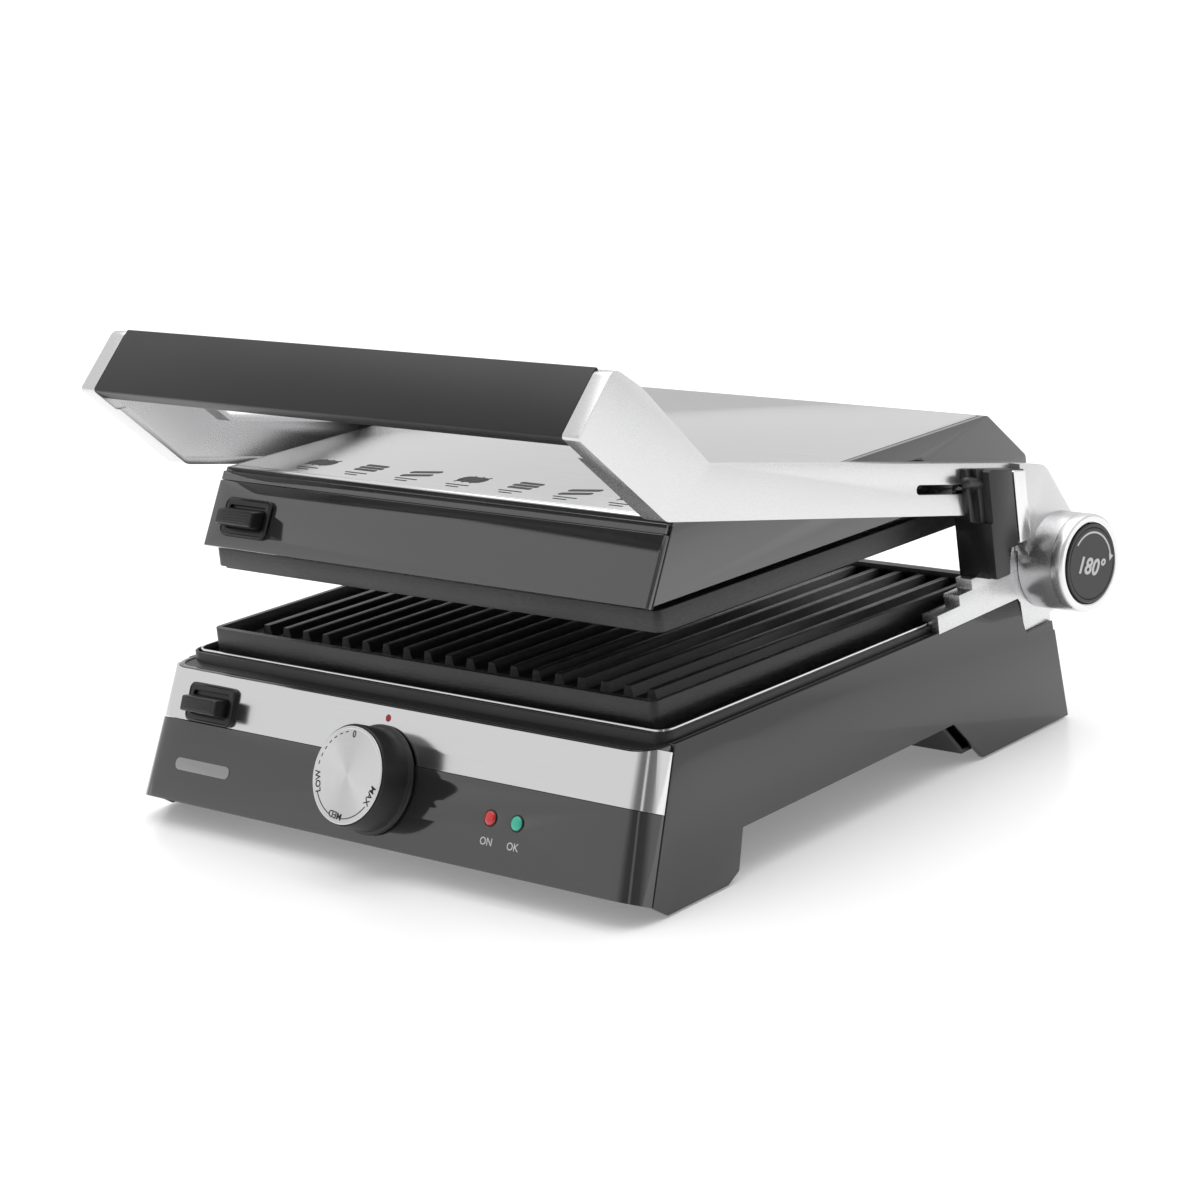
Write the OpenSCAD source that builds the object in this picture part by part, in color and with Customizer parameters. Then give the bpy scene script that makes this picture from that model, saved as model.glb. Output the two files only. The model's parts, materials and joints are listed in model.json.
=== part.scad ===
// Contact grill with two hinged cast plates. All sizes in millimetres, +Z up,
// front towards -Y, standing on Z = 0 with its footprint centred on the origin.

/* [Base] */
// Half of the base width at the floor
base_half = 169.4; // [160:0.2:178]
// Sideways lean of each side wall, in degrees
side_lean = 4.35; // [3:0.05:5]
// Height of the side wall's top edge at its front end
side_top = 70.6; // [68:0.2:74]
// Thickness of the moulded walls
wall = 3; // [2.5:0.1:3.5]
// Backward lean of the front fascia, in degrees
fascia_lean = 25.5; // [22:0.5:28]
// Where the fascia plane meets the floor, in front of the origin
fascia_foot = 163.8; // [160:0.2:170]
// Corner radius of the wrapped fascia
fascia_round = 13.4; // [10:0.2:16]
// Height of the seam between the steel strip and the panel
strip_seam = 49; // [46:0.5:52]

/* [Plates] */
// Half of the cooking plate width
plate_half = 148.5; // [146:0.5:149]
// Depth of the lower plate from front to rear
plate_depth = 232; // [228:1:234]
// Height of the lower plate's front rim
plate_rim = 85.7; // [84:0.1:87]
// Backward fall of both plates, in degrees
plate_fall = 2.1; // [1.5:0.1:2.5]
// Number of ribs on each plate
ribs = 19; // [15:1:21]
// Distance from one rib to the next
rib_pitch = 14.4; // [12:0.1:14.4]

/* [Hinge and arms] */
// Hinge axis behind the origin
hub_y = 148; // [146:0.5:150]
// Hinge axis above the floor
hub_z = 79.6; // [78:0.2:82]
// Radius of the hinge hub
hub_r = 23.5; // [22:0.1:25]
// Outer face of the hinge hub from the centre plane
hub_face = 191; // [188:0.5:194]
// Lift of the arms at rest, resting on the top step, in degrees
arm_lift = 14.4; // [14:0.1:14.8]
// Outer face of each arm from the centre plane
arm_face = 166; // [165:0.1:167]

/* [Head] */
// Half of the head width
head_half = 149.5; // [147:0.5:150]
// Head pivot in front of the hinge axis, measured along the arm
pivot_reach = 117; // [115:0.5:120]
// Head pivot above the hinge axis, square to the arm
pivot_rise = 28; // [26:0.5:30]

/* [Controls] */
// Radius of the thermostat knob
knob_r = 23.8; // [20:0.1:26]
// Height of the knob above the fascia
knob_h = 18; // [14:0.5:20]
// Travel of the release buttons
button_travel = 4; // [3:0.5:4]
// Travel of the height lever along the arm
lever_travel = 36; // [30:1:38]

/* [Hidden] */
$fn = 48;

gunmetal = "#5c5c5e";
steel = "#c9cacb";
satin = "#d6d7d8";
black = "#1b1b1c";

// Rounding helpers: a polygon whose corners become short arcs.
function unit(v) = v / norm(v);
function arc_corner(p, a, b, r, n) =
  let (u = unit(a - p))
  let (v = unit(b - p))
  let (half = acos(u * v) / 2)
  let (c = p + unit(u + v) * r / sin(half))
  let (s = p + u * r / tan(half) - c)
  let (e = p + v * r / tan(half) - c)
  let (start = atan2(s[1], s[0]))
  let (sweep = atan2(s[0] * e[1] - s[1] * e[0], s * e))
  [for (i = [0 : n]) c + r * [cos(start + sweep * i / n), sin(start + sweep * i / n)]];
function rounded(pts, radii, n = 4) =
  let (k = len(pts))
  [for (i = [0 : k - 1])
    each (radii[i] <= 0 ? [pts[i]] : arc_corner(pts[i], pts[(i + k - 1) % k], pts[(i + 1) % k], radii[i], n))];
function same(r, k) = [for (i = [1 : k]) r];
function box2(w, h) = [[-w / 2, -h / 2], [w / 2, -h / 2], [w / 2, h / 2], [-w / 2, h / 2]];

// A YZ outline pushed along X, and an XZ outline pushed along Y.
module along_x(x0, x1) {
  translate([x0, 0, 0]) rotate([90, 0, 90]) linear_extrude(x1 - x0) children();
}
module along_y(y0, y1) {
  translate([0, y1, 0]) rotate([90, 0, 0]) linear_extrude(y1 - y0) children();
}
module rod_x(x0, x1, r) {
  translate([x0, 0, 0]) rotate([0, 90, 0]) cylinder(h = x1 - x0, r = r);
}
module both_sides() {
  children();
  mirror([1, 0, 0]) children();
}

// ---- frames -------------------------------------------------------------
// Fascia frame: local Y points into the body, local Z runs up the slope.
module on_fascia(x = 0, up = 0) {
  translate([0, -fascia_foot, 0]) rotate([-fascia_lean, 0, 0]) translate([x, 0, up]) children();
}
// Plate frame: local Y runs back from the front rim, local Z = 0 is the rim.
plate_front = -109.3;
module on_plate() {
  translate([0, plate_front, plate_rim]) rotate([-plate_fall, 0, 0]) children();
}
// Arm frame: origin on the hinge axis, drawn as if the arms lay level.
module on_arm() {
  translate([0, hub_y, hub_z]) rotate([-arm_lift, 0, 0]) children();
}
// Head frame: origin on the head pivot, head drawn level.
pivot_y = hub_y - pivot_reach * cos(arm_lift) + pivot_rise * sin(arm_lift);
pivot_z = hub_z + pivot_reach * sin(arm_lift) + pivot_rise * cos(arm_lift);
module on_head() {
  translate([0, pivot_y, pivot_z]) rotate([-plate_fall, 0, 0]) children();
}
// Head fascia frame, as the base's but on the head.
head_lean = 28;
head_front = -148.3;
head_low = -14;
head_high = 20;
module on_head_fascia(x = 0, up = 0) {
  on_head() translate([0, head_front, head_low]) rotate([-head_lean, 0, 0]) translate([x, 0, up]) children();
}

// ---- base ---------------------------------------------------------------
rear_y = 148.4;
rear_wall_top = 48.8;
bracket_front = 65;
bracket_rear = 127;
seam_gap = 0.4;
side_fall = 0.02;
function side_at(z) = base_half - z * tan(side_lean);
function top_at(y) = side_top - side_fall * (y + 115);

module side_outline() {
  polygon([
    [-190, 1], [-138, 1], [-98, 1], [-90, 5], [-83, 22.5], [65, 22.5], [82, 1], [rear_y, 1],
    [rear_y, rear_wall_top], [bracket_rear, rear_wall_top], [bracket_rear - 3, top_at(bracket_rear)],
    [-190, top_at(-190)]]);
}
module base_section(inset) {
  polygon([
    [-side_at(0) + inset, -1], [side_at(0) - inset, -1],
    [side_at(90) - inset, 90], [-side_at(90) + inset, 90]]);
}
foot_chamfer = [[-160, -1], [-160, 18.7], [-145.3, 7.4], [-137, 1], [-137, -1]];
tray_half = 92;
tray_low = 21;
tray_back = 124;
tray_face = 166.4;
inlet_z = 17;
module base_housing() {
  color(gunmetal) difference() {
    intersection() {
      along_x(-180, 180) side_outline();
      along_y(-200, 200) base_section(0);
    }
    along_y(-200, rear_y - 4.4) base_section(wall);
    // front edge, parallel to the fascia
    on_fascia() translate([-200, -60, -60]) cube([400, 60 + fascia_round + seam_gap, 260]);
    along_x(-180, 180) polygon(foot_chamfer);
    // pockets for the hinge brackets
    for (s = [-1, 1])
      translate([s * 170 - 16, bracket_front, 66.2]) cube([32, 70, 30]);
    for (s = [-1, 1])
      translate([s * 170 - 16, bracket_rear, rear_wall_top]) cube([32, 40, 40]);
    // the open head lies against this part of the rear wall
    translate([-152, rear_y - 2.4, 27.5]) cube([304, 5, 30]);
    translate([-180, rear_y - 1, 44]) cube([360, 5, 20]);
    // drip tray opening in the left wall, cable hole in the rear wall
    translate([-180, tray_back - 36.4, tray_low - 0.3]) cube([30, 36.8, 13]);
    translate([125, rear_y - 10, inlet_z]) rotate([-90, 0, 0]) cylinder(h = 20, r = 6.5);
  }
}
// Closed step behind the deck, clear of the open head.
module rear_step() {
  half = side_at(48.6) - wall - 0.4;
  color(gunmetal) {
    along_x(-149.5, 149.5) polygon([[129.8, 48.5], [132.2, 48.5], [132.2, 62.5], [129.8, 62.5]]);
    along_x(-half, half) polygon([[129.8, 46.2], [rear_y - 4.5, 46.2], [rear_y - 4.5, 48.6], [129.8, 48.6]]);
  }
}

// Wrapped fascia skins: outer shape tapers with the side walls.
seam_up = strip_seam / cos(fascia_lean);
panel_low = 13.2 / cos(fascia_lean);
strip_high = side_top / cos(fascia_lean);
module fascia_slice(up, inset) {
  half = side_at(up * cos(fascia_lean)) - inset;
  translate([0, 0, up]) linear_extrude(0.01)
    polygon(rounded([[-half, fascia_round + 0.01], [-half, inset], [half, inset], [half, fascia_round + 0.01]],
      [0, fascia_round - inset, fascia_round - inset, 0], 8));
}
module fascia_skin(low, high, thick) {
  difference() {
    hull() {
      fascia_slice(low, 0);
      fascia_slice(high, 0);
    }
    hull() {
      fascia_slice(low - 1, thick);
      fascia_slice(high + 1, thick);
    }
    translate([-200, fascia_round, -10]) cube([400, 10, 200]);
  }
}
button_x = -123.3;
button_up = 63.8;
frame_w = 34;
frame_h = 19;
lamp_x = [76.6, 93.3];
lamp_up = 38.3;
knob_up = 44.4;
module lamp_shape(grow) {
  circle(r = 3.3 + grow);
}
module fascia_panel() {
  color(gunmetal) on_fascia() difference() {
    fascia_skin(panel_low, seam_up - 0.3, 2.6);
    for (x = lamp_x)
      translate([x, 0, lamp_up]) along_y(-2, 6) lamp_shape(0.2);
    translate([0, -2, knob_up]) rotate([-90, 0, 0]) cylinder(h = 8, r = 5);
    translate([button_x - 18, -2, button_up - 10]) cube([36, 8, 40]);
  }
}
module fascia_strip() {
  color(steel) difference() {
    on_fascia() difference() {
      fascia_skin(seam_up, strip_high + 3, 1.2);
      translate([button_x - frame_w / 2 + 1.5, -2, button_up - frame_h / 2 + 1.5])
        cube([frame_w - 3, 8, frame_h - 3]);
    }
    // trimmed level with the deck
    translate([-200, -200, side_top + 0.1]) cube([400, 400, 40]);
  }
}
deck_front = -128.6;
well_front = -116.2;
well_rear = 129.5;
well_half = 158.6;
deck_thick = 3;
deck_rear = 132.2;
module deck_outline(inset) {
  polygon(rounded([[-162.6 + inset, deck_front + inset], [162.6 - inset, deck_front + inset],
    [162.6 - inset, -115.9 + inset / 2], [161 - inset, -115.2 + inset / 2], [161 - inset, deck_rear - inset],
    [-161 + inset, deck_rear - inset], [-161 + inset, -115.2 + inset / 2], [-162.6 + inset, -115.9 + inset / 2]],
    [12 - inset, 12 - inset, 0, 0, 0, 0, 0, 0], 6));
}
module on_deck() {
  translate([0, -115, side_top - deck_thick]) rotate([-atan(side_fall), 0, 0]) translate([0, 115, 0]) children();
}
module bracket_notches() {
  for (s = [-1, 1])
    translate([s * 165.5 - 20, bracket_front - 0.4, 60]) cube([40, 80, 30]);
}
lip = 3;
module deck_lip() {
  color(gunmetal) difference() {
    on_deck() linear_extrude(deck_thick) deck_outline(0);
    on_deck() translate([0, 0, -1]) linear_extrude(deck_thick + 2) deck_outline(lip);
    translate([0, 0, side_top - 14]) linear_extrude(30) well(1.5);
    bracket_notches();
  }
}
module well(grow) {
  polygon(rounded([[-well_half - grow, well_front - grow], [well_half + grow, well_front - grow],
    [well_half + grow, well_rear], [-well_half - grow, well_rear]], [7 + grow, 7 + grow, 4, 4], 5));
}
module deck_bezel() {
  color(black) difference() {
    union() {
      on_deck() linear_extrude(deck_thick - 0.4) deck_outline(lip + 0.1);
      // curb that stands up round the tray, level with its rim
      translate([0, tray_front, tray_rim]) rotate([-tray_fall, 0, 0]) translate([0, -tray_front, -8.5])
        linear_extrude(7.7) intersection() {
          well(1.4);
          translate([-180, -130]) square([360, 130 + bracket_front + 20]);
        }
    }
    translate([0, 0, side_top - 14]) linear_extrude(30) well(0);
    bracket_notches();
  }
}
vents = 14;
screw_rows = [-112, 130];
module cover_pan() {
  difference() {
    intersection() {
      along_x(-180, 180) polygon([
        [-134, 12], [-90, 12], [-83, 25], [60, 25], [72, 8], [rear_y - 4.8, 8], [rear_y - 4.8, 6],
        [70.8, 6], [58.8, 22.8], [-81.6, 22.8], [-88.6, 9.6], [-134, 9.6]]);
      along_y(-200, 200) base_section(wall + 0.5);
    }
    for (i = [0 : vents - 1])
      translate([-91 + i * 14, -40, 20]) cube([5, 70, 8]);
    for (x = [-120, 120])
      for (y = screw_rows)
        translate([x, y, 0]) cylinder(h = 20, r = 1.7);
  }
}
module bottom_cover() {
  color(black) {
    cover_pan();
    // runners under the drip tray
    for (y = [tray_back - 33, tray_back - 6])
      translate([-108, y, 7.5]) cube([196, 3, tray_low - 7.8]);
  }
}
foot_spots = [[156, -120], [156, 118]];
module rubber_feet() {
  color("#0e0e0e") both_sides()
    for (p = foot_spots)
      translate([p[0], p[1], 0]) cylinder(h = p[1] < 0 ? 9.6 : 6, r1 = 7, r2 = 8);
}
tray_fall = 1.5;
tray_front = -114.8;
tray_rim = 75.7;
tray_length = 240;
module lower_reflector() {
  outline = rounded([[-158, 0], [158, 0], [158, tray_length], [-158, tray_length]], same(7, 4), 5);
  hollow = rounded([[-157, 1], [157, 1], [157, tray_length - 1], [-157, tray_length - 1]], same(6, 4), 5);
  color("#b9bbbd") translate([0, tray_front, tray_rim]) rotate([-tray_fall, 0, 0]) {
    difference() {
      translate([0, 0, -22]) linear_extrude(22) polygon(outline);
      translate([0, 0, -21]) linear_extrude(30) polygon(hollow);
      translate([0, tray_length - 18, -30]) cylinder(h = 20, r = 8);
      // notch the plate latch works through
      translate([latch_end - 7, -1, -14]) cube([12, 3, 9]);
    }
    // rests that carry the element and the plate
    for (x = [-75, 75])
      translate([x - 5, 26, -21.01]) cube([10, 186, 6.5]);
    for (x = [-143, 143])
      for (p = [[14, 15.8], [212, 13.6]])
        translate([x - 4, p[0], -21.01]) cube([8, 12, p[1]]);
  }
}
tube_r = 3.3;
module element_loop(half, depth, bend) {
  // hairpin loop in the XY plane with rounded corners and two cold ends
  for (s = [-1, 1])
    translate([s * half, bend, 0]) rotate([-90, 0, 0]) cylinder(h = depth - 2 * bend, r = tube_r);
  translate([-half + bend, 0, 0]) rotate([0, 90, 0]) cylinder(h = 2 * (half - bend), r = tube_r);
  for (s = [-1, 1])
    translate([s * (half - bend), bend, 0]) rotate([0, 0, s > 0 ? -90 : 180])
      rotate_extrude(angle = 90) translate([bend, 0]) circle(r = tube_r);
  for (s = [-1, 1])
    translate([s * (half - bend), depth - bend, 0]) rotate([0, 0, s > 0 ? 0 : 90])
      rotate_extrude(angle = 90) translate([bend, 0]) circle(r = tube_r);
  for (s = [-1, 1])
    translate([s > 0 ? 10 : -half + bend, depth, 0]) rotate([0, 90, 0]) cylinder(h = half - bend - 10, r = tube_r);
}
module lower_element() {
  color("#6f6a66") translate([0, tray_front, tray_rim]) rotate([-tray_fall, 0, 0])
    translate([0, 32, -14.51 + tube_r]) element_loop(105, 175, 30);
}
wall_low = -15;
floor_top = -6.5;
module rib_row(y0, y1, z0, z1) {
  for (i = [0 : ribs - 1])
    translate([(i - (ribs - 1) / 2) * rib_pitch, 0, 0]) along_y(y0, y1)
      polygon([[-3.2, z0], [3.2, z0], [1.9, z1], [-1.9, z1]]);
}
module lower_plate() {
  outer = rounded([[-plate_half, 0], [plate_half, 0], [plate_half, plate_depth], [-plate_half, plate_depth]],
    same(4, 4), 4);
  color(black) on_plate() {
    difference() {
      union() {
        translate([0, 0, wall_low + 3]) linear_extrude(-wall_low - 3) polygon(outer);
        translate([0, 0, wall_low]) linear_extrude(3.01) polygon([for (p = outer) [p[0] * 0.985, 4 + p[1] * 0.966]]);
      }
      translate([-plate_half + 3, 3, floor_top]) cube([2 * plate_half - 6, plate_depth - 8, 40]);
      translate([-plate_half + 10, 10, wall_low - 1]) cube([2 * plate_half - 20, plate_depth - 20, -wall_low - 9.5]);
      // drain spout at the rear
      translate([0, plate_depth - 14, -30]) cylinder(h = 40, r = 4);
    }
    rib_row(18.5, plate_depth - 8, floor_top - 0.01, -1.5);
    // hook that the latch holds
    translate([latch_end - 3, 5, -23]) cube([3, 3, 9]);
    translate([latch_end - 3, -2.6, -24.6]) cube([3, 10.6, 2]);
  }
}
module lower_button_frame() {
  color(black) on_fascia(button_x, button_up) difference() {
    union() {
      translate([0, -1.6, 0]) along_y(0, 1.6) polygon(rounded(box2(frame_w, frame_h), same(3.5, 4), 4));
      along_y(-0.01, 8) polygon(box2(frame_w - 3.4, frame_h - 3.4));
    }
    along_y(-3, 20) polygon(rounded(box2(button_w + 0.6, button_t + 0.6), same(1, 4), 2));
  }
}
module lamp_lens(x, tint) {
  color(tint) on_fascia(x, lamp_up) {
    along_y(-1, 2.61) lamp_shape(0);
    along_y(2.6, 9) lamp_shape(1.4);
  }
}
module power_lamp() lamp_lens(lamp_x[0], "#b01818");
module ready_lamp() lamp_lens(lamp_x[1], "#2fae8c");
module thermostat() {
  color("#a9a49a") on_fascia(0, knob_up) difference() {
    union() {
      along_y(2.7, 4.2) polygon(rounded(box2(40, 22), same(4, 4), 3));
      along_y(4.19, 22) circle(r = 13);
      translate([-20, 20, -4]) cube([40, 6, 8]);
    }
    along_y(1, 18.2) circle(r = 3.06);
  }
}
module terminal_block() {
  color("#e4e0d6") difference() {
    translate([96, 100, 8.2]) cube([38, 18, 15]);
    for (i = [0 : 2])
      translate([103 + i * 12, 109, 14]) cylinder(h = 12, r = 2.4);
  }
}
module cable_inlet() {
  color(black) translate([125, rear_y, inlet_z]) rotate([-90, 0, 0]) difference() {
    union() {
      cylinder(h = 1.2, r1 = 8, r2 = 7.6);
      translate([0, 0, -4.5]) cylinder(h = 4.6, r = 6.3);
      translate([0, 0, -8.6]) cylinder(h = 4.18, r = 8.6);
    }
    translate([0, 0, -20]) cylinder(h = 40, r = 3.6);
  }
}
step_top = [75, 80, 85];
step_y = [65, 81.7, 91.7, 112];
pin_r = 5;
module bracket_outline(stepped) {
  polygon(concat(
    [[step_y[0], 66.2], [step_y[0], step_top[0]], [step_y[1], step_top[0]], [step_y[1], step_top[1]],
    [step_y[2], step_top[1]], [step_y[2], step_top[2]], [step_y[3], step_top[2]], [118, 79]],
    [[126, hub_z + 8], [rear_y - 0.6, hub_z + 8], [rear_y - 0.6, rear_wall_top + 0.2],
    [bracket_rear + 0.4, rear_wall_top + 0.2], [bracket_rear - 1, 66.2]]));
}
module hinge_bracket() {
  difference() {
    union() {
      difference() {
        along_x(155, 164.3) bracket_outline();
        // room for the tray's rim
        translate([150, 40, 40]) cube([8.4, 86.4, 31.4]);
      }
      translate([0, hub_y, hub_z]) rod_x(150, 165.5, hub_r);
      translate([0, hub_y, hub_z]) rod_x(158.5, 164.3, 27);
      // rear tab under the boss
      along_x(150, 155.01) polygon([[127, 52], [rear_y - 4.8, 52], [rear_y - 4.8, 88], [134, 88]]);
    }
    translate([0, hub_y, hub_z]) rod_x(140, 180, pin_r);
    translate([0, hub_y, hub_z]) rod_x(140, 151, hub_r - 12);
  }
}
module hinge_bracket_right() color(satin) hinge_bracket();
module hinge_bracket_left() color(satin) mirror([1, 0, 0]) hinge_bracket();
module hinge_pins() {
  color("#9c9ea0") both_sides() translate([0, hub_y, hub_z]) {
    rod_x(138, hub_face - 13.1, pin_r - 0.05);
    rod_x(134, 138.01, pin_r + 3);
  }
}
module base_screws() {
  color("#8d8f92") {
    for (x = [-120, 120])
      for (y = screw_rows)
        translate([x, y, y < 0 ? 7.4 : 3.8]) {
          cylinder(h = 2.2, r = 4);
          translate([0, 0, 2.19]) cylinder(h = 2.3, r = 1.6);
        }
  }
}

// ---- knob ---------------------------------------------------------------
module knob_body() {
  color(black) on_fascia(0, knob_up) difference() {
    union() {
      along_y(-knob_h, -1.2) circle(r = knob_r);
      along_y(-2.6, -0.5) circle(r = knob_r + 1.6);
    }
    along_y(-knob_h - 1, -knob_h + 1.2) circle(r = knob_r - 1.1);
    along_y(-knob_h + 6, 1) circle(r = 3);
    along_y(-knob_h + 8, 1) difference() {
      circle(r = knob_r - 3);
      circle(r = 7);
    }
  }
}
module knob_cap() {
  color(satin) on_fascia(0, knob_up) along_y(-knob_h - 0.9, -knob_h + 1.2) circle(r = knob_r - 1.2);
}
module knob_shaft() {
  color("#b5a06a") on_fascia(0, knob_up) along_y(-knob_h + 6, 18) circle(r = 3);
}

// ---- release buttons ----------------------------------------------------
button_w = 26;
button_t = 11;
module push_button(deep) {
  difference() {
    along_y(-9, deep) polygon(rounded(box2(button_w, button_t), same(0.8, 4), 2));
    // sloped thumb face
    translate([0, -9, 0]) along_x(-20, 20) polygon([[-1, 7], [-1, 2.4], [3.6, 7]]);
  }
}
module lower_release_button() color(black) on_fascia(button_x, button_up) push_button(9);
latch_travel = 3;
latch_end = -100;
module latch_bar() {
  // sliding bar whose end sits on the plate's hook, with a heel the button works on
  translate([-30, 0, 0]) cube([30, 3, 2.2]);
  translate([-26, 0, -6]) cube([6, 3, 6.01]);
}
module lower_latch() {
  color("#b9bbbd") translate([latch_end, -123.4, 64]) {
    latch_bar();
    translate([-2.9, 0, 0]) cube([2.9, 13, 2.2]);
  }
}
module drip_tray() {
  color(black) difference() {
    union() {
      translate([-tray_face, tray_back - 36, tray_low]) cube([tray_face + tray_half, 36, 12.4]);
      translate([-tray_face - 2.6, tray_back - 30, tray_low + 1]) cube([3, 24, 2]);
    }
    translate([-tray_face + 4, tray_back - 34, tray_low + 2]) cube([tray_face + tray_half - 6, 32, 12]);
  }
}

// ---- arms and handle ----------------------------------------------------
arm_low = 21.5;
arm_high = 45.6;
handle_top = [-304.2, 86.1];
handle_foot = [-323.3, 56.4];
knee_high = [-241.5, arm_high];
knee_low = [-267.4, arm_low];
arm_edge = [handle_foot, handle_top, [-287, 78.2], knee_high, [-14, arm_high], [-14, arm_low], knee_low];
arm_soft = [2, 5, 30, 8, 9, 2, 8];
module arm_outline() polygon(rounded(arm_edge, arm_soft, 5));
module arm_hollow() {
  polygon([[-314, 55.5], [-302, 77], [-290, 72], [-241, arm_high - 3], [-22, arm_high - 3],
    [-22, arm_low + 3], [-268, arm_low + 3]]);
}
bar_half = 156;
slot_start = -64;
module arm_body() {
  difference() {
    union() {
      // channel section bar
      along_x(153, arm_face) arm_outline();
      // rear link out to the hub
      difference() {
        along_x(164.7, 172) polygon(rounded(
          [[-52, arm_high], [-15, arm_high], [9.5, 21.5], [0, 0], [-23.4, 2], [-30, arm_low], [-50, arm_low]],
          [0, 11, 0, 0, 0, 6, 0], 5));
        // clear of the lever's seat, square to the floor at rest
        rotate([arm_lift, 0, 0]) translate([160, -88, -10]) cube([40, 65.6, 90]);
      }
      rod_x(165.9, hub_face - 6, hub_r);
    }
    along_x(140, arm_face - 3) arm_hollow();
    // the handle lies between the arms: open the front end
    along_x(140, bar_half + 0.2) polygon([[-340, 40], [-340, 100], [-280, 100], [-300, 50.2]]);
    // room for the bracket's boss
    rod_x(140, 166.05, hub_r + 1);
    rod_x(140, 164.8, 28);
    rod_x(165, 200, pin_r + 0.05);
    // recess for the button or cap
    rod_x(hub_face - 13, hub_face, hub_r - 4.2);
    // bore for the head pivot
    translate([0, -pivot_reach, pivot_rise]) rod_x(140, arm_face - 2.9, 4.05);
  }
  // pivot boss inside the channel
  difference() {
    translate([0, -pivot_reach, pivot_rise]) rod_x(153, arm_face - 2.9, 8);
    translate([0, -pivot_reach, pivot_rise]) rod_x(140, arm_face - 2.9, 4.05);
    along_x(140, 180) polygon([[-160, 0], [-80, 0], [-80, arm_low - 0.01], [-160, arm_low - 0.01]]);
  }
}
module arm_left() color(satin) on_arm() mirror([1, 0, 0]) arm_body();
module arm_right() {
  color(satin) on_arm() difference() {
    arm_body();
    // slot for the lever's stud
    lever_slot();
  }
}
module lever_slot() {
  translate([0, slot_start - lever_travel, slot_z - 2.3]) cube([200, lever_travel, 4.6]);
  translate([0, slot_start - lever_travel, slot_z]) rod_x(150, 180, 2.3);
  translate([0, slot_start, slot_z]) rod_x(150, 180, 2.3);
}
// Handle bar: front cover and the grip shell behind it.
handle_dir = unit(handle_top - handle_foot);
handle_in = [handle_dir[1], -handle_dir[0]];
function handle_pt(along, deep) = handle_foot + handle_dir * along + handle_in * deep;
module handle_cover() {
  length = norm(handle_top - handle_foot);
  color("#3c3c3d") on_arm() along_x(-bar_half, bar_half)
    polygon(rounded([handle_pt(0, 0), handle_pt(length, 0), handle_pt(length - 1.5, 7.5), handle_pt(length - 4.5, 7.5),
      handle_pt(length - 3.6, 3), handle_pt(3.2, 3), handle_pt(4.5, 9.5), handle_pt(1.5, 9.5)], same(0.8, 8), 2));
}
grip_half = 92;
module handle_grip() {
  color("#2c2c2d") on_arm() difference() {
    union() {
      along_x(-bar_half + 0.4, bar_half - 0.4)
        polygon(rounded([handle_pt(4.7, 3.2), handle_pt(30, 3.2), handle_pt(30, 11), handle_pt(24, 16),
          handle_pt(10, 17), handle_pt(4.9, 12)], [0, 0, 3, 5, 5, 2], 3));
      // fuller middle for the hand
      along_x(-grip_half, grip_half)
        polygon(rounded([handle_pt(5, 10), handle_pt(29, 10), handle_pt(26, 20), handle_pt(11, 22)],
          [2, 3, 7, 7], 4));
    }
    along_x(-bar_half + 4, bar_half - 4)
      polygon([handle_pt(8, 0), handle_pt(26, 0), handle_pt(26, 9), handle_pt(21, 12.5), handle_pt(12, 13)]);
  }
}
ring_in = 19.2;
module hub_ring() {
  difference() {
    rod_x(hub_face - 5.9, hub_face, hub_r);
    rod_x(hub_face - 10, hub_face + 1, ring_in);
  }
}
module hub_ring_right() color("#e0e1e2") on_arm() hub_ring();
module hub_ring_left() color("#e0e1e2") on_arm() mirror([1, 0, 0]) hub_ring();
module hub_cap_left() {
  color("#3a3a3b") on_arm() mirror([1, 0, 0]) {
    rod_x(hub_face - 12.9, hub_face - 4.49, 15);
    rod_x(hub_face - 4.5, hub_face - 0.4, ring_in - 0.05);
  }
}
module hinge_button() {
  color("#3a3a3b") on_arm() {
    rod_x(hub_face - 4.5, hub_face + 0.6, ring_in - 0.25);
    rod_x(hub_face - 9.5, hub_face - 4.49, 12);
  }
}

// ---- height lever: its leg stands on the bracket's steps ----------------
lever_back = 124.8;
lever_out = arm_face + 10.6;
slot_z = (arm_low + arm_high) / 2;
module height_lever() {
  color(black) difference() {
    union() {
      // sliding pad on the arm's outer face
      along_x(arm_face + 0.3, arm_face + 3.4) polygon(rounded(
        [[89, 114], [lever_back, 100], [lever_back, 130.5], [89, 139.5]], same(1, 4), 2));
      along_x(arm_face + 3.39, arm_face + 6.4) polygon([[93, 113], [lever_back, 99], [lever_back, 130.5], [93, 138.5]]);
      // thumb block with the leg below it
      along_x(arm_face + 6.39, lever_out) polygon(rounded(
        [[95.2, step_top[2]], [105.7, step_top[2]], [105.7, 97], [113.7, 97], [113.7, 133.2], [96.7, 137.6],
        [96.7, 112], [95.2, 112]], [1, 1, 0, 1, 2, 2, 0, 0], 3));
      along_x(arm_face + 0.3, arm_face + 6.4) polygon([[95.2, step_top[2]], [105.7, step_top[2]], [105.7, 109], [95.2, 113.5]]);
      along_x(155, arm_face + 0.31) polygon([[95.2, step_top[2]], [105.7, step_top[2]], [105.7, 110.5], [95.2, 113.2]]);
      along_x(arm_face + 6.39, arm_face + 8.6) polygon([[113.6, 99], [lever_back, 97], [lever_back, 130.5], [113.6, 133]]);
      // thumb pin pointing forward
      on_arm() translate([arm_face + 4.5, -60, 37]) rotate([90, 0, 0]) {
        cylinder(h = 12, r = 2.8);
        translate([0, 0, 12]) sphere(r = 2.8);
      }
    }
    on_arm() translate([0, slot_start, slot_z]) rod_x(arm_face - 1, arm_face + 3.5, 2.1);
  }
}
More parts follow.
